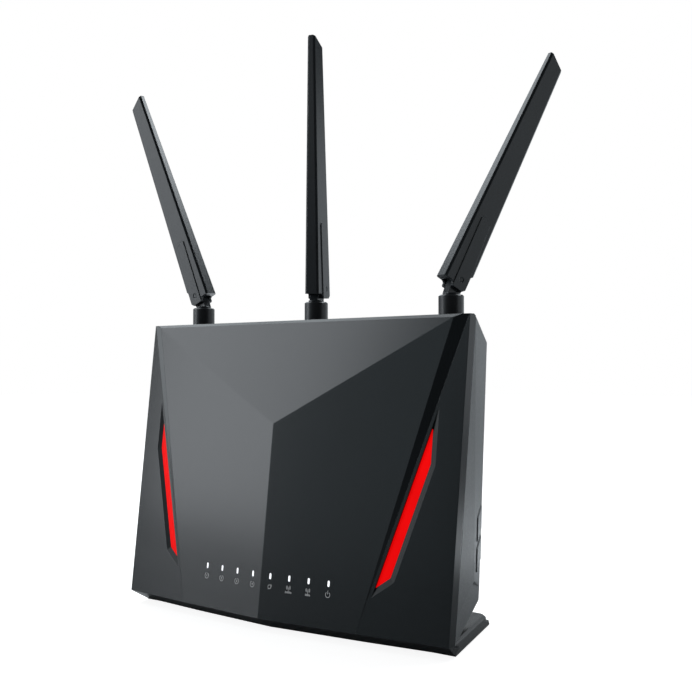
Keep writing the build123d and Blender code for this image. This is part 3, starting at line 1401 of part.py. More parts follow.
def main():
    """Build and write every piece."""
    os.makedirs("parts", exist_ok=True)
    write("front_cover", front_cover())
    write("accent_strip_right", accent_strip(1))
    write("accent_strip_left", accent_strip(-1))
    write("light_guide", light_guide())
    write("light_board", light_board())
    write("light_emitters", light_emitters())
    write("rear_cover", rear_cover())
    write("port_tray", port_tray())
    write("case_screws", case_screws())
    write("main_board", main_board())
    write("board_screws", board_screws())
    write("heatsink", heatsink())
    write("board_chips", board_chips())
    write("radio_shields", radio_shields())
    for i, x in enumerate(lan_places()):
        write(f"lan_jack_{i + 1}", network_jack(x, JACK_WIDTH))
    write("wan_jack", network_jack(WAN_X, WAN_WIDTH))
    write("usb_port_a", usb_port(USB_X[0]))
    write("usb_port_b", usb_port(USB_X[1]))
    write("dc_inlet", dc_inlet())
    write("power_button", power_button())
    write("reset_button", reset_button())
    write("push_switches", push_switches())
    write("wps_button", side_button(SIDE_BUTTON_Z[0]))
    write("wifi_button", side_button(SIDE_BUTTON_Z[1]))
    write("side_board", side_board())
    write("side_switches", side_switches())
    write("foot_base", foot_base())
    write("foot_screws", foot_screws())
    write("rubber_pads", rubber_pads())
    nuts = []
    for name, x, swivel, tilt in ANTENNAS:
        place = antenna_place(x, swivel)
        blade_place = place * tilted(tilt)
        nuts.append(place * connector_nut())
        write(f"{name}_connector", place * antenna_connector())
        write(f"{name}_coax", coax_lead(x))
        write(f"{name}_collar", place * collar())
        write(f"{name}_knuckle", place * knuckle())
        write(f"{name}_hinge_pin", blade_place * hinge_pin())
        write(f"{name}_blade", blade_place * blade())
        write(f"{name}_element", blade_place * antenna_element())
    write("connector_nuts", nuts)


main()
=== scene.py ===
"""Dresses the upright wireless router: finishes, printed symbols, contact springs, floor, light and camera.

Everything is in metres in the router's own frame: +X right seen from the front, -Y front, +Z up.
"""

from __future__ import annotations

import logging
import math
from dataclasses import dataclass
from enum import Enum
from typing import Callable, Sequence

import bpy
from mathutils import Matrix, Vector

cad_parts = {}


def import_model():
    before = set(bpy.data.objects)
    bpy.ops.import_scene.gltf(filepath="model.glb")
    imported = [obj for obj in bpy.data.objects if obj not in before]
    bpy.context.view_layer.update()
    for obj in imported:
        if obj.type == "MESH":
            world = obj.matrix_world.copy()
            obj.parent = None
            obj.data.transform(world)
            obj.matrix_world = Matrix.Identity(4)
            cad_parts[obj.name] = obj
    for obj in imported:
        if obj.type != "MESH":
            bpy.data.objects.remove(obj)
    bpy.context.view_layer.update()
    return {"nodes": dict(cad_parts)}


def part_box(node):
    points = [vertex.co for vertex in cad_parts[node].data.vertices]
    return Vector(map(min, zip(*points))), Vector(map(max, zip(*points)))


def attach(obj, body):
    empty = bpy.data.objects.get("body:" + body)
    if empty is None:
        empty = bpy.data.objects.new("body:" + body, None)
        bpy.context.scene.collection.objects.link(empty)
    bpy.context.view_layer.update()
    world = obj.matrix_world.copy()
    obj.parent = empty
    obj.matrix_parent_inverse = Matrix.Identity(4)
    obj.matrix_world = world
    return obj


LOG = logging.getLogger("router")
MM = 0.001
MICRON = 0.000001
Pair = tuple[float, float]
Triple = tuple[float, float, float]
Colour = Triple
Socket = bpy.types.NodeSocket


# ------------------------------------------------------------------------------------------------
# Small helpers for working by operator
# ------------------------------------------------------------------------------------------------
def clear_selection() -> None:
    """Deselect everything, as the loaded nodes start out selected."""
    bpy.ops.object.select_all(action="DESELECT")


def pick(*objects: bpy.types.Object) -> None:
    """Select the given objects only and make the first one active.

    Args:
        objects: what to select.
    """
    clear_selection()
    for obj in objects:
        obj.select_set(True)
    bpy.context.view_layer.objects.active = objects[0]


def edit(obj: bpy.types.Object, work: Callable[[], None]) -> None:
    """Run operators on all of a mesh in edit mode.

    Args:
        obj: the mesh object.
        work: what to do while everything in it is selected.
    """
    pick(obj)
    bpy.ops.object.mode_set(mode="EDIT")
    bpy.ops.mesh.select_all(action="SELECT")
    work()
    bpy.ops.object.mode_set(mode="OBJECT")


def joined(objects: Sequence[bpy.types.Object], name: str) -> bpy.types.Object:
    """Join meshes into one named piece.

    Args:
        objects: the meshes.
        name: the piece's name.

    Returns:
        The joined piece.
    """
    pick(*objects)
    if len(objects) > 1:
        bpy.ops.object.join()
    piece = bpy.context.view_layer.objects.active
    piece.name = name
    piece.data.name = name
    return piece


def settle(obj: bpy.types.Object, place: Matrix | None = None) -> bpy.types.Object:
    """Move an object's place into its mesh, after an optional further placing.

    Args:
        obj: the mesh object.
        place: where the mesh goes in the router's frame.

    Returns:
        The same object, at the origin.
    """
    pick(obj)
    bpy.ops.object.transform_apply(location=True, rotation=True, scale=True)
    if place is not None:
        obj.data.transform(place)
        obj.data.update()
    return obj


def face_outwards(obj: bpy.types.Object) -> None:
    """Merge doubles and point the normals outwards.

    Args:
        obj: the mesh object.
    """

    def work() -> None:
        """Mend what is selected."""
        bpy.ops.mesh.remove_doubles(threshold=MICRON)
        bpy.ops.mesh.normals_make_consistent(inside=False)

    edit(obj, work)


# ------------------------------------------------------------------------------------------------
# Finishes
# ------------------------------------------------------------------------------------------------
def scaled(colour: Colour, factor: float) -> Colour:
    """A colour made darker or lighter."""
    return tuple(c * factor for c in colour)


class Sheet:
    """A material's node sheet with short calls to lay nodes out."""

    EDGE_SAMPLES = 6
    EDGE_COSINE = 0.97  # softened against plain normal where an edge counts in full
    FLAT_COSINE = 0.9995  # the same where the surface counts as flat

    def __init__(self, name: str) -> None:
        """Start an empty material with a shader and an output.

        Args:
            name: the material's name.
        """
        self.material = bpy.data.materials.new(name)
        self.material.use_nodes = True
        self.tree = self.material.node_tree
        self.tree.nodes.clear()
        output = self.tree.nodes.new("ShaderNodeOutputMaterial")
        self.shader = self.tree.nodes.new("ShaderNodeBsdfPrincipled")
        self.link(self.shader.outputs[0], output.inputs[0])
        self.coordinates = self.tree.nodes.new("ShaderNodeTexCoord").outputs["Object"]

    def link(self, start: Socket, end: Socket) -> None:
        """Join two sockets."""
        self.tree.links.new(start, end)

    def noise(self, scale: float, detail: float = 3.0, stretch: Triple = (1, 1, 1)) -> Socket:
        """Noise on the object's own coordinates.

        Args:
            scale: grains per metre.
            detail: how many finer layers.
            stretch: scale along each axis.

        Returns:
            The noise's factor socket.
        """
        mapping = self.tree.nodes.new("ShaderNodeMapping")
        mapping.inputs["Scale"].default_value = stretch
        self.link(self.coordinates, mapping.inputs["Vector"])
        node = self.tree.nodes.new("ShaderNodeTexNoise")
        node.inputs["Scale"].default_value = scale
        node.inputs["Detail"].default_value = detail
        self.link(mapping.outputs[0], node.inputs["Vector"])
        return node.outputs["Fac"]

    def ranged(
        self, value: Socket, low: float, high: float, start: float = 0.3, end: float = 0.7
    ) -> Socket:
        """Spread a varying value over a range.

        Args:
            value: the socket to read.
            low: result at start.
            high: result at end.
            start: input at the low end.
            end: input at the high end.

        Returns:
            The result socket.
        """
        node = self.tree.nodes.new("ShaderNodeMapRange")
        self.link(value, node.inputs["Value"])
        node.inputs["From Min"].default_value = start
        node.inputs["From Max"].default_value = end
        node.inputs["To Min"].default_value = low
        node.inputs["To Max"].default_value = high
        return node.outputs[0]

    def blend(self, factor: Socket, first: Colour | Socket, second: Colour) -> Socket:
        """Mix two colours by a varying factor.

        Args:
            factor: the mixing socket.
            first: colour or socket at 0.
            second: colour at 1.

        Returns:
            The colour socket.
        """
        node = self.tree.nodes.new("ShaderNodeMix")
        node.data_type = "RGBA"
        self.link(factor, node.inputs["Factor"])
        if isinstance(first, tuple):
            node.inputs["A"].default_value = (*first, 1)
        else:
            self.link(first, node.inputs["A"])
        node.inputs["B"].default_value = (*second, 1)
        return node.outputs["Result"]

    def rounded_edges(self, radius: float) -> tuple[Socket, Socket]:
        """Softened edges as a moulded part has them.

        Args:
            radius: edge radius in metres.

        Returns:
            The softened normal, and a value that rises to 1 on the edges.
        """
        bevel = self.tree.nodes.new("ShaderNodeBevel")
        bevel.samples = self.EDGE_SAMPLES
        bevel.inputs["Radius"].default_value = radius
        geometry = self.tree.nodes.new("ShaderNodeNewGeometry")
        dot = self.tree.nodes.new("ShaderNodeVectorMath")
        dot.operation = "DOT_PRODUCT"
        self.link(bevel.outputs[0], dot.inputs[0])
        self.link(geometry.outputs["Normal"], dot.inputs[1])
        rim = self.ranged(dot.outputs["Value"], 1.0, 0.0, self.EDGE_COSINE, self.FLAT_COSINE)
        return bevel.outputs[0], rim

    def bump(self, height: Socket, strength: float, depth: float, normal: Socket | None = None) -> Socket:
        """Turn a height into a normal.

        Args:
            height: the height socket.
            strength: 0 to 1.
            depth: real depth in metres.
            normal: the normal to start from.

        Returns:
            The normal socket.
        """
        node = self.tree.nodes.new("ShaderNodeBump")
        node.inputs["Strength"].default_value = strength
        node.inputs["Distance"].default_value = depth
        self.link(height, node.inputs["Height"])
        if normal is not None:
            self.link(normal, node.inputs["Normal"])
        return node.outputs[0]

    def into(self, **sockets: Socket) -> None:
        """Feed varying values into the shader, by input name with _ for spaces."""
        for name, socket in sockets.items():
            self.link(socket, self.shader.inputs[name.replace("_", " ")])

    def fixed(self, **values: object) -> None:
        """Set even values on the shader's own sockets, by input name with _ for spaces."""
        for name, value in values.items():
            self.shader.inputs[name.replace("_", " ")].default_value = value


@dataclass(frozen=True)
class Plastic:
    """Moulded plastic: tint, spark-eroded grain, soft cloudiness and edges painted lighter as a highlight."""

    CLOUD_SCALE = 38.0
    CLOUD_DETAIL = 4.0
    CLOUD_SPREAD = 0.1
    GRAIN_DETAIL = 2.0
    GRAIN_STRENGTH = 0.6
    # Painted highlight: the colour on an edge is made lighter than the face's.
    EDGE_HIGHLIGHT_LIFT = 0.004  # added to the tint on an edge
    EDGE_SHINE = 1.7  # an edge's specular level against the face's

    name: str
    tint: Colour
    roughness: Pair
    grain: float
    grain_depth: float
    edge_radius: float
    # Painted highlight: how much lighter an edge's colour is than the face's.
    edge_highlight_tint: float
    specular: float = 0.5
    # Painted glow: light given off by a part that is no lamp.
    glow: float = 0.0

    def material(self) -> bpy.types.Material:
        """Build the node material.

        Returns:
            The material.
        """
        sheet = Sheet(self.name)
        cloud = sheet.noise(self.CLOUD_SCALE, self.CLOUD_DETAIL)
        grain = sheet.noise(self.grain, self.GRAIN_DETAIL)
        dark = scaled(self.tint, 1 - self.CLOUD_SPREAD)
        light = scaled(self.tint, 1 + self.CLOUD_SPREAD)
        # Painted highlight: the edge colour, a lighter copy of the tint, blended in by the rim mask.
        edge = tuple(min(1.0, c * self.edge_highlight_tint + self.EDGE_HIGHLIGHT_LIFT) for c in self.tint)
        normal, rim = sheet.rounded_edges(self.edge_radius)
        body = sheet.blend(sheet.ranged(cloud, 0.0, 1.0), dark, light)
        sheet.into(
            Base_Color=sheet.blend(rim, body, edge),
            Roughness=sheet.ranged(grain, *self.roughness),
            Normal=sheet.bump(grain, self.GRAIN_STRENGTH, self.grain_depth, normal),
            Specular_IOR_Level=sheet.ranged(rim, self.specular, self.specular * self.EDGE_SHINE, 0.0, 1.0),
        )
        # Painted glow: the part gives off its own colour as light.
        if self.glow > 0:
            sheet.into(Emission_Color=body)
            sheet.fixed(Emission_Strength=self.glow)
        return sheet.material


@dataclass(frozen=True)
class Metal:
    """Plated or turned metal with fine lines along one axis."""

    LINE_SCALE = 900.0
    LINE_DEPTH = 10 * MICRON
    LINE_STRENGTH = 0.3
    LINE_SHADE = 0.82  # the dark of the lines against the tint
    ROUGHNESS_SPREAD = (0.8, 1.3)
    EDGE_RADIUS = 0.15 * MM

    name: str
    tint: Colour
    roughness: float
    lines: Triple = (1.0, 1.0, 12.0)  # how much finer the noise is along each axis

    def material(self) -> bpy.types.Material:
        """Build the node material.

        Returns:
            The material.
        """
        sheet = Sheet(self.name)
        lines = sheet.noise(self.LINE_SCALE, stretch=self.lines)
        normal, _ = sheet.rounded_edges(self.EDGE_RADIUS)
        dark = scaled(self.tint, self.LINE_SHADE)
        least, most = (self.roughness * spread for spread in self.ROUGHNESS_SPREAD)
        sheet.into(
            Base_Color=sheet.blend(sheet.ranged(lines, 0.0, 1.0), dark, self.tint),
            Roughness=sheet.ranged(lines, least, most),
            Normal=sheet.bump(lines, self.LINE_STRENGTH, self.LINE_DEPTH, normal),
        )
        sheet.fixed(Metallic=1.0)
        return sheet.material


@dataclass(frozen=True)
class Circuit:
    """Green solder mask with copper runs showing through it."""

    RUN_SCALE = 260.0
    RUN_EDGE = (0.42, 0.5)
    RUN_DEPTH = 30 * MICRON
    RUN_STRENGTH = 0.4
    MASK_SCALE = 300.0
    MASK_ROUGHNESS = (0.3, 0.5)

    name: str
    mask: Colour
    copper: Colour

    def material(self) -> bpy.types.Material:
        """Build the node material.

        Returns:
            The material.
        """
        sheet = Sheet(self.name)
        cells = sheet.tree.nodes.new("ShaderNodeTexVoronoi")
        cells.distance = "MANHATTAN"
        cells.inputs["Scale"].default_value = self.RUN_SCALE
        sheet.link(sheet.coordinates, cells.inputs["Vector"])
        runs = sheet.ranged(cells.outputs["Distance"], 0.0, 1.0, *self.RUN_EDGE)
        sheet.into(
            Base_Color=sheet.blend(runs, self.mask, self.copper),
            Roughness=sheet.ranged(sheet.noise(self.MASK_SCALE), *self.MASK_ROUGHNESS),
            Normal=sheet.bump(runs, self.RUN_STRENGTH, self.RUN_DEPTH),
        )
        return sheet.material


@dataclass(frozen=True)
class Rubber:
    """Matt rubber with a dusty bloom."""

    BLOOM_SCALE = 120.0
    BLOOM_DETAIL = 5.0
    BLOOM_SHADE = 2.2  # the bloom's tint against the rubber's
    BLOOM_SHARE = 0.6  # how much of it shows at most
    GRAIN_SCALE = 1800.0
    GRAIN_DEPTH = 40 * MICRON
    GRAIN_STRENGTH = 0.5
    ROUGHNESS = (0.75, 0.95)

    name: str
    tint: Colour

    def material(self) -> bpy.types.Material:
        """Build the node material.

        Returns:
            The material.
        """
        sheet = Sheet(self.name)
        bloom = sheet.noise(self.BLOOM_SCALE, self.BLOOM_DETAIL)
        grain = sheet.noise(self.GRAIN_SCALE)
        light = scaled(self.tint, self.BLOOM_SHADE)
        sheet.into(
            Base_Color=sheet.blend(sheet.ranged(bloom, 0.0, self.BLOOM_SHARE), self.tint, light),
            Roughness=sheet.ranged(grain, *self.ROUGHNESS),
            Normal=sheet.bump(grain, self.GRAIN_STRENGTH, self.GRAIN_DEPTH),
        )
        return sheet.material


@dataclass(frozen=True)
class Glow:
    """Clear light guide, lit from behind."""

    HAZE_SCALE = 900.0
    HAZE_SHADE = 0.92
    ROUGHNESS = (0.25, 0.4)

    name: str
    tint: Colour
    power: float

    def material(self) -> bpy.types.Material:
        """Build the node material.

        Returns:
            The material.
        """
        sheet = Sheet(self.name)
        haze = sheet.noise(self.HAZE_SCALE)
        soft = scaled(self.tint, self.HAZE_SHADE)
        tone = sheet.blend(sheet.ranged(haze, 0.0, 1.0), soft, self.tint)
        sheet.into(Base_Color=tone, Emission_Color=tone, Roughness=sheet.ranged(haze, *self.ROUGHNESS))
        sheet.fixed(Emission_Strength=self.power)
        return sheet.material


class Coat(Enum):
    """Every finish on the router."""

    FRONT = Plastic(
        "front_satin",
        tint=(0.0085, 0.0122, 0.0146),
        roughness=(0.18, 0.23),
        grain=3200.0,
        grain_depth=3 * MICRON,
        edge_radius=0.4 * MM,
        edge_highlight_tint=2.4,
    )
    # Painted shade: a darker, duller copy of the front's finish for the channel walls beside the red strips.
    CHANNEL = Plastic(
        "channel_matt_painted_shade",
        tint=(0.0085, 0.0110, 0.0125),
        roughness=(0.26, 0.34),
        grain=2600.0,
        grain_depth=5 * MICRON,
        edge_radius=0.2 * MM,
        edge_highlight_tint=1.4,
        specular=0.17,
    )
    REAR = Plastic(
        "rear_grain",
        tint=(0.085, 0.090, 0.094),
        roughness=(0.42, 0.62),
        grain=1500.0,
        grain_depth=50 * MICRON,
        edge_radius=0.6 * MM,
        edge_highlight_tint=1.5,
    )
    SIDE_KEY = Plastic(
        "side_key_grain",
        tint=(0.085, 0.090, 0.094),
        roughness=(0.40, 0.58),
        grain=1500.0,
        grain_depth=40 * MICRON,
        edge_radius=0.4 * MM,
        edge_highlight_tint=2.2,
    )
    ACCENT = Plastic(
        "accent_red",
        tint=(0.86, 0.0012, 0.0016),
        roughness=(0.36, 0.46),
        grain=2400.0,
        grain_depth=6 * MICRON,
        edge_radius=0.1 * MM,
        edge_highlight_tint=1.0,
        specular=0.06,
        # Painted glow: the red strips give off light, though they are no lamp.
        glow=0.72,
    )
    FOOT = Plastic(
        "foot_satin",
        tint=(0.007, 0.008, 0.009),
        roughness=(0.24, 0.34),
        grain=2400.0,
        grain_depth=6 * MICRON,
        edge_radius=0.5 * MM,
        edge_highlight_tint=2.4,
        specular=0.10,
    )
    ANTENNA = Plastic(
        "antenna_satin",
        tint=(0.020, 0.0245, 0.028),
        roughness=(0.26, 0.34),
        grain=2800.0,
        grain_depth=6 * MICRON,
        edge_radius=0.5 * MM,
        edge_highlight_tint=2.2,
        specular=0.42,
    )
    COLLAR = Plastic(
        "collar_satin",
        tint=(0.022, 0.025, 0.028),
        roughness=(0.28, 0.38),
        grain=2800.0,
        grain_depth=10 * MICRON,
        edge_radius=0.4 * MM,
        edge_highlight_tint=2.0,
    )
    KEY = Plastic(
        "rear_key",
        tint=(0.018, 0.019, 0.020),
        roughness=(0.40, 0.55),
        grain=1800.0,
        grain_depth=20 * MICRON,
        edge_radius=0.3 * MM,
        edge_highlight_tint=1.8,
    )
    SOCKET = Plastic(
        "socket_black",
        tint=(0.012, 0.012, 0.013),
        roughness=(0.35, 0.5),
        grain=2000.0,
        grain_depth=10 * MICRON,
        edge_radius=0.2 * MM,
        edge_highlight_tint=1.6,
    )
    SOCKET_BLUE = Plastic(
        "socket_blue",
        tint=(0.010, 0.060, 0.300),
        roughness=(0.35, 0.5),
        grain=2000.0,
        grain_depth=10 * MICRON,
        edge_radius=0.2 * MM,
        edge_highlight_tint=1.3,
    )
    CHIP = Plastic(
        "chip_black",
        tint=(0.014, 0.014, 0.015),
        roughness=(0.5, 0.65),
        grain=1600.0,
        grain_depth=20 * MICRON,
        edge_radius=0.2 * MM,
        edge_highlight_tint=1.3,
    )
    JACKET = Plastic(
        "lead_jacket",
        tint=(0.015, 0.015, 0.016),
        roughness=(0.4, 0.5),
        grain=1600.0,
        grain_depth=10 * MICRON,
        edge_radius=0.1 * MM,
        edge_highlight_tint=1.2,
    )
    PRINT = Plastic(
        "symbol_print",
        tint=(0.33, 0.335, 0.34),
        roughness=(0.45, 0.55),
        grain=3000.0,
        grain_depth=4 * MICRON,
        edge_radius=0.02 * MM,
        edge_highlight_tint=1.0,
        # Painted glow: the printed symbols give off light, though they are no lamp.
        glow=0.6,
    )
    EMITTER = Plastic(
        "emitter_white",
        tint=(0.75, 0.75, 0.68),
        roughness=(0.4, 0.5),
        grain=3000.0,
        grain_depth=4 * MICRON,
        edge_radius=0.1 * MM,
        edge_highlight_tint=1.1,
    )
    STEEL = Metal("zinc_steel", (0.50, 0.51, 0.53), roughness=0.32)
    TIN = Metal("tin_sheet", (0.66, 0.67, 0.68), roughness=0.36, lines=(1.0, 8.0, 1.0))
    NICKEL = Metal("nickel", (0.62, 0.61, 0.58), roughness=0.24, lines=(8.0, 8.0, 1.0))
    GOLD = Metal("gold_plate", (0.83, 0.60, 0.24), roughness=0.26)
    ALUMINIUM = Metal("sink_aluminium", (0.74, 0.75, 0.77), roughness=0.38, lines=(1.0, 1.0, 10.0))
    CIRCUIT = Circuit("solder_mask", mask=(0.006, 0.060, 0.028), copper=(0.020, 0.120, 0.050))
    RUBBER = Rubber("pad_rubber", (0.010, 0.010, 0.010))
    LIGHT = Glow("light_guide", (0.95, 0.97, 1.0), power=1.15)


NODE_COATS: dict[str, Coat] = {
    "front_cover": Coat.FRONT,
    "accent_strip_left": Coat.ACCENT,
    "accent_strip_right": Coat.ACCENT,
    "light_guide": Coat.LIGHT,
    "light_board": Coat.CIRCUIT,
    "light_emitters": Coat.EMITTER,
    "rear_cover": Coat.REAR,
    "port_tray": Coat.KEY,
    "case_screws": Coat.STEEL,
    "board_screws": Coat.STEEL,
    "foot_screws": Coat.STEEL,
    "main_board": Coat.CIRCUIT,
    "side_board": Coat.CIRCUIT,
    "heatsink": Coat.ALUMINIUM,
    "board_chips": Coat.CHIP,
    "radio_shields": Coat.TIN,
    "lan_jack_1": Coat.SOCKET,
    "lan_jack_2": Coat.SOCKET,
    "lan_jack_3": Coat.SOCKET,
    "lan_jack_4": Coat.SOCKET,
    "dc_inlet": Coat.SOCKET,
    "wan_jack": Coat.SOCKET_BLUE,
    "usb_port_a": Coat.TIN,
    "usb_port_b": Coat.TIN,
    "push_switches": Coat.CHIP,
    "side_switches": Coat.CHIP,
    "power_button": Coat.KEY,
    "reset_button": Coat.KEY,
    "wps_button": Coat.SIDE_KEY,
    "wifi_button": Coat.SIDE_KEY,
    "foot_base": Coat.FOOT,
    "rubber_pads": Coat.RUBBER,
    "connector_nuts": Coat.NICKEL,
}
ANTENNA_COATS: dict[str, Coat] = {
    "connector": Coat.GOLD,
    "coax": Coat.JACKET,
    "collar": Coat.COLLAR,
    "knuckle": Coat.ANTENNA,
    "hinge_pin": Coat.ANTENNA,
    "blade": Coat.ANTENNA,
    "element": Coat.CIRCUIT,
}
ANTENNA_NAMES = ("left", "centre", "right")


class Finishes:
    """Makes each finish once and puts it on pieces and nodes."""

    CHANNEL_REACH = 12 * MM  # a channel's walls are this near its strip, across
    CHANNEL_LOW = 0.5 * MM  # a wall's middle is at most this far below the strip's face
    CHANNEL_HIGH = 0.7 * MM  # and at most this far above it
    WALL_COSINE = (0.7, 0.99)  # a wall's slant against the strip's face

    def __init__(self) -> None:
        """Start with no materials made."""
        self.made: dict[Coat, bpy.types.Material] = {}

    def of(self, coat: Coat) -> bpy.types.Material:
        """Give a finish's material, made on first use.

        Args:
            coat: the finish.

        Returns:
            Its material.
        """
        if coat not in self.made:
            self.made[coat] = coat.value.material()
        return self.made[coat]

    def put(self, obj: bpy.types.Object, coat: Coat) -> None:
        """Give an object one finish.

        Args:
            obj: piece or node.
            coat: its finish.
        """
        obj.data.materials.clear()
        obj.data.materials.append(self.of(coat))

    def dress_nodes(self, nodes: dict[str, bpy.types.Object]) -> None:
        """Give every loaded node its finish.

        Args:
            nodes: node name to object.
        """
        coats = dict(NODE_COATS)
        for side in ANTENNA_NAMES:
            coats.update({f"{side}_{part}": coat for part, coat in ANTENNA_COATS.items()})
        for name, obj in nodes.items():
            self.put(obj, coats[name])
            LOG.info("node %s takes %s", name, coats[name].value.name)
        for side in ("left", "right"):
            self.paint_channel_shade(nodes["front_cover"], nodes[f"accent_strip_{side}"])

    def paint_channel_shade(self, cover: bpy.types.Object, strip: bpy.types.Object) -> None:
        """Give the walls of a strip's channel their duller finish: rougher and matt, with a darker tint and
        weaker shine as painted shade in the recess.

        Args:
            cover: the front cover.
            strip: the strip that lies in the channel.
        """
        if self.of(Coat.CHANNEL).name not in cover.data.materials:
            cover.data.materials.append(self.of(Coat.CHANNEL))
        face = max((f for f in strip.data.polygons if f.normal.y < 0), key=lambda f: f.area)
        across = [vertex.co.x for vertex in strip.data.vertices]
        left, right = min(across) - self.CHANNEL_REACH, max(across) + self.CHANNEL_REACH
        steepest, flattest = self.WALL_COSINE
        for wall in cover.data.polygons:
            rise = (wall.center - face.center).dot(face.normal)
            level = -self.CHANNEL_LOW < rise < self.CHANNEL_HIGH
            slanted = steepest < wall.normal.dot(face.normal) < flattest
            if left < wall.center.x < right and level and slanted:
                wall.material_index = len(cover.data.materials) - 1


# ------------------------------------------------------------------------------------------------
# Printed symbols under the status lights
# ------------------------------------------------------------------------------------------------
class Symbol(Enum):
    """What is printed under a status light."""

    LAN_1 = "1"
    LAN_2 = "2"
    LAN_3 = "3"
    LAN_4 = "4"
    PLANET = "planet"
    BAND_LOW = "2.4GHz"
    BAND_HIGH = "5GHz"
    POWER = "power"


@dataclass
class StatusSymbols:
    """Symbols printed on the front below the status lights."""

    FONT_SIZE = 1.4  # of a numeral's height
    RING_SIDES = 40
    GLOBE_SIDES = 36
    BAR_SIDES = 16
    RAY_START = -0.3  # in front of the whole router

    nodes: dict[str, bpy.types.Object]
    finishes: Finishes
    pitch: float = 12.1 * MM
    drop: float = 5.2 * MM
    line: float = 0.22 * MM
    thickness: float = 0.05 * MM
    digit_height: float = 1.15 * MM
    digit_swell: float = 0.03 * MM
    label_height: float = 0.95 * MM
    label_drop: float = 1.5 * MM
    mast_rise: float = 0.8 * MM
    badge_radius: float = 1.55 * MM
    # In badge radii, from here to the power sign's bar
    badge_top: float = 0.86
    globe: float = 0.68
    orbit: float = 1.1
    orbit_gap: float = 0.2
    mast_foot: float = 0.5
    waves: Pair = (0.5, 0.85)
    power_ring: float = 0.92
    power_gap: float = 0.62
    power_bar: Pair = (0.2, 1.25)
    # As shares of their own size, and angles in degrees
    wave_cut: float = 0.6
    orbit_squash: float = 0.5
    orbit_tilt: float = 35.0
    orbit_gap_side: float = 125.0

    def ring(self, radius: float, cut: Pair | None = None, sides: int = RING_SIDES) -> bpy.types.Object:
        """A flat ring, with what lies on the far side of a cut removed.

        Args:
            radius: outer radius.
            cut: direction in degrees, and how far that way the ring is cut off.
            sides: corners of the ring.

        Returns:
            The ring's mesh.
        """
        clear_selection()
        bpy.ops.mesh.primitive_circle_add(vertices=sides, radius=radius, fill_type="NGON")
        band = bpy.context.active_object

        def work() -> None:
            """Leave the band and cut it."""
            bpy.ops.mesh.inset(thickness=self.line)
            bpy.ops.mesh.delete(type="FACE")
            if cut is not None:
                side, offset = math.radians(cut[0]), cut[1]
                normal = (math.cos(side), math.sin(side), 0.0)
                bpy.ops.mesh.select_all(action="SELECT")
                bpy.ops.mesh.bisect(plane_co=scaled(normal, offset), plane_no=normal, clear_outer=True)

        edit(band, work)
        return band

    def bar(self, start: Pair, end: Pair) -> bpy.types.Object:
        """A straight stroke.

        Args:
            start: one end.
            end: other end.

        Returns:
            The stroke's mesh.
        """
        dx, dy = end[0] - start[0], end[1] - start[1]
        clear_selection()
        bpy.ops.mesh.primitive_circle_add(vertices=self.BAR_SIDES, radius=self.line / 2, fill_type="NGON")
        stroke = bpy.context.active_object
        half = math.hypot(dx, dy) / 2
        for vertex in stroke.data.vertices:
            vertex.co.x += half if vertex.co.x > 0 else -half
        turn = Matrix.Rotation(math.atan2(dy, dx), 4, "Z")
        middle = Matrix.Translation(((start[0] + end[0]) / 2, (start[1] + end[1]) / 2, 0))
        stroke.data.transform(middle @ turn)
        return stroke

    def digits(self, text: str, height: float, place: Pair = (0.0, 0.0)) -> bpy.types.Object:
        """Numerals centred on a place.

        Args:
            text: the numerals.
            height: their height.
            place: their middle.

        Returns:
            The numerals' mesh.
        """
        clear_selection()
        bpy.ops.object.text_add()
        words = bpy.context.active_object
        words.data.body = text
        words.data.size = height * self.FONT_SIZE
        words.data.align_x = "CENTER"
        words.data.align_y = "CENTER"
        words.data.offset = self.digit_swell
        words.location = (place[0], place[1], 0)
        pick(words)
        bpy.ops.object.convert(target="MESH")
        return settle(bpy.context.active_object)

    def drawn(self, symbol: Symbol) -> list[bpy.types.Object]:
        """The flat strokes of a symbol, about its own middle.

        Args:
            symbol: which one.

        Returns:
            Its meshes.
        """
        r = self.badge_radius
        if symbol in (Symbol.LAN_1, Symbol.LAN_2, Symbol.LAN_3, Symbol.LAN_4):
            return self.drawn_socket(symbol)
        if symbol is Symbol.PLANET:
            return self.drawn_planet()
        if symbol in (Symbol.BAND_LOW, Symbol.BAND_HIGH):
            return self.drawn_mast(symbol)
        low, high = self.power_bar
        return [
            self.ring(self.power_ring * r, (90, self.power_gap * r)),
            self.bar((0.0, low * r), (0.0, high * r)),
        ]

    def drawn_socket(self, symbol: Symbol) -> list[bpy.types.Object]:
        """A numeral in a badge with a flattened top.

        Args:
            symbol: one of the four network sockets.

        Returns:
            The badge and the numeral.
        """
        badge = self.ring(self.badge_radius)
        for vertex in badge.data.vertices:
            vertex.co.y = min(vertex.co.y, self.badge_top * self.badge_radius)
        return [badge, self.digits(symbol.value, self.digit_height)]

    def drawn_planet(self) -> list[bpy.types.Object]:
        """A globe with an open orbit slung round it.

        Returns:
            The globe and the orbit.
        """
        r = self.badge_radius
        globe = self.ring(self.globe * r, sides=self.GLOBE_SIDES)
        orbit = self.ring(self.orbit * r, (self.orbit_gap_side, self.orbit_gap * r))
        tilt = Matrix.Rotation(math.radians(self.orbit_tilt), 4, "Z")
        orbit.data.transform(tilt @ Matrix.Diagonal((1, self.orbit_squash, 1, 1)))
        return [globe, orbit]

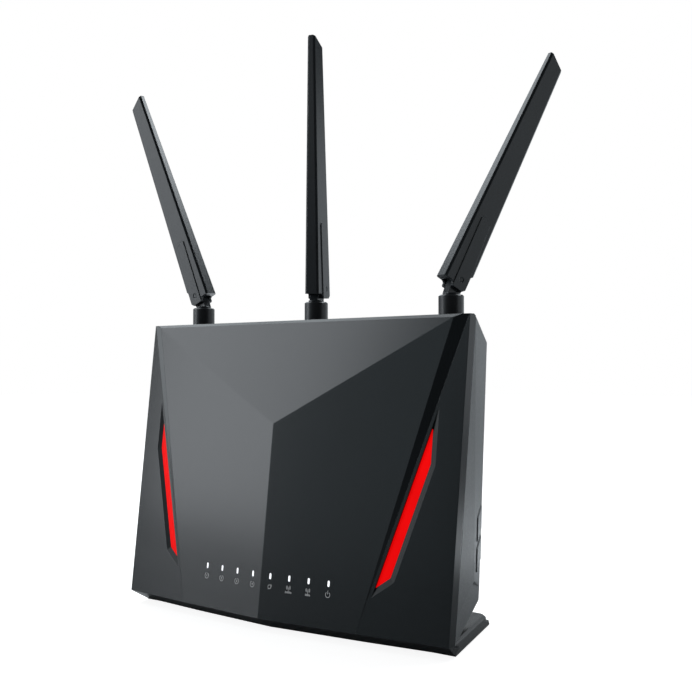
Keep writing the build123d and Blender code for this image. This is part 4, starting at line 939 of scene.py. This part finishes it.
    def drawn_mast(self, symbol: Symbol) -> list[bpy.types.Object]:
        """A mast with waves to both sides and the band's figure below it.

        Args:
            symbol: one of the two bands.

        Returns:
            The mast, its waves and the figure.
        """
        r = self.badge_radius
        mast = self.bar((0.0, self.mast_rise), (0.0, -self.mast_foot * r))
        waves = [
            self.ring(size * r, (side, -self.wave_cut * size * r)) for size in self.waves for side in (0, 180)
        ]
        for wave in waves:
            wave.data.transform(Matrix.Translation((0, self.mast_rise, 0)))
        return [mast, *waves, self.digits(symbol.value, self.label_height, (0.0, -self.label_drop))]

    def on_front(self, x: float, z: float) -> Matrix:
        """Frame lying on the front's surface.

        Args:
            x: place across.
            z: height.

        Returns:
            Matrix with X across, Y up the surface and Z outwards.
        """
        cover = self.nodes["front_cover"]
        hit, place, normal, _ = cover.ray_cast(Vector((x, self.RAY_START, z)), Vector((0, 1, 0)))
        if not hit:
            raise ValueError("no front surface here")
        across = Vector((0, 0, 1)).cross(normal).normalized()
        up = normal.cross(across)
        turn = Matrix((across, up, normal)).transposed().to_4x4()
        return Matrix.Translation(place) @ turn

    def build(self) -> None:
        """Make every symbol and let it ride on the housing."""

        def raise_up() -> None:
            """Give flat strokes their thickness."""
            bpy.ops.mesh.extrude_region_move(TRANSFORM_OT_translate={"value": (0, 0, self.thickness)})

        low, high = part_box("light_guide")
        middle = (low.z + high.z) / 2
        for index, symbol in enumerate(Symbol):
            x = self.pitch * (index - (len(Symbol) - 1) / 2)
            piece = joined(self.drawn(symbol), f"symbol_{symbol.name.lower()}")
            settle(piece)
            edit(piece, raise_up)
            face_outwards(piece)
            settle(piece, self.on_front(x, middle - self.drop))
            self.finishes.put(piece, Coat.PRINT)
            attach(piece, "housing")
            LOG.info("piece %s", piece.name)


# ------------------------------------------------------------------------------------------------
# Contact springs in the network sockets
# ------------------------------------------------------------------------------------------------
@dataclass
class SocketContacts:
    """Gold contact springs in the five network sockets."""

    SAME_PLACE = 0.1 * MICRON

    finishes: Finishes
    spring_pitch: float = 1.02 * MM
    spring_width: float = 0.4 * MM
    spring_thickness: float = 0.15 * MM
    spring_count: int = 8
    spring_roof: float = 4.7 * MM  # the roof above the socket's middle
    spring_inset: float = 3.0 * MM  # from the socket's mouth to the spring's start
    spring_lip: float = 0.6 * MM
    spring_gap: float = 0.5 * MM  # between the spring's start and the roof
    spring_bends: tuple[Pair, ...] = (
        (-1.2 * MM, -0.2 * MM),
        (-5.2 * MM, -3.6 * MM),
        (-1.0 * MM, -0.1 * MM),
    )

    def spring(self, x: float, mouth: float, top: float) -> bpy.types.Object:
        """One bent spring that comes down from the socket's roof.

        Args:
            x: place across.
            mouth: the socket's rear face in depth.
            top: the socket's roof.

        Returns:
            The spring's mesh.
        """
        clear_selection()
        bpy.ops.mesh.primitive_plane_add(size=1.0)
        strip = bpy.context.active_object
        half = self.spring_width / 2
        front = mouth - self.spring_inset
        back = front - self.spring_lip
        corners = [(-half, front), (half, front), (-half, back), (half, back)]
        for vertex, (dx, y) in zip(strip.data.vertices, corners):
            vertex.co = (x + dx, y, top - self.spring_gap)

        def work() -> None:
            """Draw the strip's far edge out along its bends."""
            bpy.ops.mesh.select_all(action="DESELECT")
            bpy.ops.object.mode_set(mode="OBJECT")
            for edge in strip.data.edges:
                ends = [strip.data.vertices[i].co.y for i in edge.vertices]
                edge.select = all(abs(y - back) < self.SAME_PLACE for y in ends)
            bpy.ops.object.mode_set(mode="EDIT")
            for run, fall in self.spring_bends:
                bpy.ops.mesh.extrude_region_move(TRANSFORM_OT_translate={"value": (0, run, fall)})

        edit(strip, work)
        modifier = strip.modifiers.new("thickness", "SOLIDIFY")
        modifier.thickness = self.spring_thickness
        pick(strip)
        bpy.ops.object.modifier_apply(modifier=modifier.name)
        return strip

    def network(self, name: str, nodes: Sequence[str]) -> None:
        """Springs for every socket of a row.

        Args:
            name: the piece's name.
            nodes: the CAD nodes they sit in.
        """
        springs = []
        for node in nodes:
            low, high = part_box(node)
            middle, top = (low.x + high.x) / 2, (low.z + high.z) / 2 + self.spring_roof
            for index in range(self.spring_count):
                x = middle + self.spring_pitch * (index - (self.spring_count - 1) / 2)
                springs.append(self.spring(x, high.y, top))
        piece = joined(springs, name)
        face_outwards(piece)
        settle(piece)
        self.finishes.put(piece, Coat.GOLD)
        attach(piece, "housing")
        LOG.info("piece %s with %d springs", name, len(springs))

    def build(self) -> None:
        """Make the contacts of the network sockets."""
        self.network("lan_contacts", [f"lan_jack_{number}" for number in range(1, 5)])
        self.network("wan_contacts", ["wan_jack"])


# ------------------------------------------------------------------------------------------------
# Studio
# ------------------------------------------------------------------------------------------------
@dataclass(frozen=True)
class Softbox:
    """A rectangular light that faces the router and isn't seen itself."""

    name: str
    place: Triple
    size: Pair
    radiance: float
    aim: Triple = (0.0, 0.0, 0.09)
    tint: Colour = (0.93, 1.0, 1.05)

    def hang(self) -> None:
        """Put the light in the scene, its power in proportion to its area."""
        data = bpy.data.lights.new(self.name, "AREA")
        data.shape = "RECTANGLE"
        data.size, data.size_y = self.size
        data.energy = self.radiance * math.pi * self.size[0] * self.size[1]
        data.color = self.tint
        lamp = bpy.data.objects.new(self.name, data)
        lamp.location = self.place
        lamp.rotation_euler = (Vector(self.aim) - Vector(self.place)).to_track_quat("-Z", "Y").to_euler()
        lamp.visible_camera = False
        bpy.context.scene.collection.objects.link(lamp)


@dataclass
class Studio:
    """Floor, soft lights, surroundings and camera; turn and rise are the camera's angles in radians."""

    FLOOR_SIZE = 12.0
    FLOOR_GAP = 0.2 * MM
    FLOOR_PATCHES = 6.0  # soft patches per metre
    FLOOR_GREYS = (0.34, 0.36)
    FLOOR_ROUGHNESS = 0.35
    GLOW_GREYS = (0.9, 1.0)  # the floor's own light, near and far
    GLOW_REACH = (0.16, 0.7)  # from the router's middle, in metres

    eye: Triple = (0.4115, -0.4674, 0.1280)
    turn: float = 0.7016
    rise: float = 0.02193
    lens: float = 60.45
    sensor: float = 36.0
    near_clip: float = 0.02
    shift: Pair = (0.0009, 0.0054)
    fill: float = 0.05  # the surroundings' brightness for all but the camera
    # Name, place, size and radiance, then aim and tint where they aren't the usual ones
    lights: tuple[Softbox, ...] = (
        Softbox(
            "left_softbox",
            (-1.404, -1.127, 0.73),
            (0.685, 1.32),
            3.25,
            aim=(0.0, 0.0, 0.73),
            tint=(0.95, 1.0, 1.05),
        ),
        Softbox(
            "dim_panel",
            (-0.932, -1.709, 0.705),
            (0.815, 1.29),
            0.42,
            aim=(0.467, -0.577, 0.705),
            tint=(0.84, 1.0, 1.08),
        ),
        Softbox("high_strip", (-0.30, -1.70, 0.72), (0.30, 0.40), 1.1, (0.0, 0.0, 0.25)),
        Softbox("side_panel", (1.67, 0.67, 0.52), (0.9, 1.0), 0.8, (0.0, 0.0, 0.2)),
        Softbox("far_left_panel", (-1.80, -0.09, 0.26), (0.9, 0.5), 1.1, (0.0, 0.0, 0.15)),
        Softbox("rear_softbox", (0.40, 1.50, 0.33), (2.2, 0.62), 0.85),
        Softbox("far_rear_softbox", (-1.15, 1.15, 0.90), (1.2, 0.7), 3.0),
        Softbox("left_floor_panel", (-1.20, -0.85, 0.002), (0.9, 0.9), 1.15, (-1.20, -0.85, 1.0)),
        Softbox("front_floor_panel", (-0.93, -1.45, 0.002), (0.4, 0.7), 0.8, (-0.93, -1.45, 1.0)),
        Softbox("rear_floor_panel", (0.05, 0.30, 0.002), (0.7, 0.26), 1.9, (0.05, 0.30, 1.0)),
        Softbox("rear_high_softbox", (0.35, 1.12, 1.59), (0.9, 0.5), 8.0, (-0.1, 0.0, 0.25)),
        Softbox("top_softbox", (-1.05, 0.05, 1.45), (1.1, 1.1), 2.6),
    )

    def camera(self) -> None:
        """Camera at its measured place and angle."""
        data = bpy.data.cameras.new("camera")
        data.lens = self.lens
        data.sensor_width = self.sensor
        data.shift_x, data.shift_y = self.shift
        data.clip_start = self.near_clip
        camera = bpy.data.objects.new("camera", data)
        bpy.context.scene.collection.objects.link(camera)
        level = math.cos(self.rise)
        right = Vector((math.cos(self.turn), math.sin(self.turn), 0))
        ahead = Vector((-math.sin(self.turn) * level, math.cos(self.turn) * level, math.sin(self.rise)))
        axes = Matrix((right, right.cross(ahead), -ahead)).transposed()
        camera.matrix_world = Matrix.Translation(self.eye) @ axes.to_4x4()
        bpy.context.scene.camera = camera

    def floor(self) -> None:
        """Wide grey floor that looks white to the camera, a little less so near the router."""
        clear_selection()
        bpy.ops.mesh.primitive_plane_add(size=self.FLOOR_SIZE, location=(0, 0, -self.FLOOR_GAP))
        floor = settle(bpy.context.active_object)
        floor.name = "floor"
        sheet = Sheet("pale_floor")
        patches = sheet.ranged(sheet.noise(self.FLOOR_PATCHES), 0.0, 1.0)
        tone = sheet.blend(patches, *((grey,) * 3 for grey in self.FLOOR_GREYS))
        path = sheet.tree.nodes.new("ShaderNodeLightPath")
        reach = sheet.tree.nodes.new("ShaderNodeVectorMath")
        reach.operation = "LENGTH"
        sheet.link(sheet.coordinates, reach.inputs[0])
        away = sheet.ranged(reach.outputs["Value"], 0.0, 1.0, *self.GLOW_REACH)
        white = sheet.blend(away, *((grey,) * 3 for grey in self.GLOW_GREYS))
        sheet.into(Base_Color=tone, Emission_Color=white, Emission_Strength=path.outputs["Is Camera Ray"])
        sheet.fixed(Roughness=self.FLOOR_ROUGHNESS)
        floor.data.materials.append(sheet.material)

    def surroundings(self) -> None:
        """White backdrop with a dimmer fill from all round, and plain colours without a film curve."""
        scene = bpy.context.scene
        scene.view_settings.view_transform = "Standard"
        world = bpy.data.worlds.new("studio")
        scene.world = world
        world.use_nodes = True
        tree = world.node_tree
        tree.nodes.clear()
        out = tree.nodes.new("ShaderNodeOutputWorld")
        mix = tree.nodes.new("ShaderNodeMixShader")
        path = tree.nodes.new("ShaderNodeLightPath")
        tree.links.new(path.outputs["Is Camera Ray"], mix.inputs[0])
        for index, strength in ((1, self.fill), (2, 1.0)):
            glow = tree.nodes.new("ShaderNodeBackground")
            glow.inputs[0].default_value = (1, 1, 1, 1)
            glow.inputs[1].default_value = strength
            tree.links.new(glow.outputs[0], mix.inputs[index])
        tree.links.new(mix.outputs[0], out.inputs[0])

    def build(self) -> None:
        """Set up the whole studio."""
        self.camera()
        self.floor()
        self.surroundings()
        for light in self.lights:
            light.hang()


def main() -> None:
    """Load the frame, dress it, add the printed symbols and contact springs, and set up the studio."""
    logging.basicConfig(level=logging.INFO)
    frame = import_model()
    finishes = Finishes()
    finishes.dress_nodes(frame["nodes"])
    StatusSymbols(frame["nodes"], finishes).build()
    SocketContacts(finishes).build()
    Studio().build()


if __name__ == "__main__":
    main()
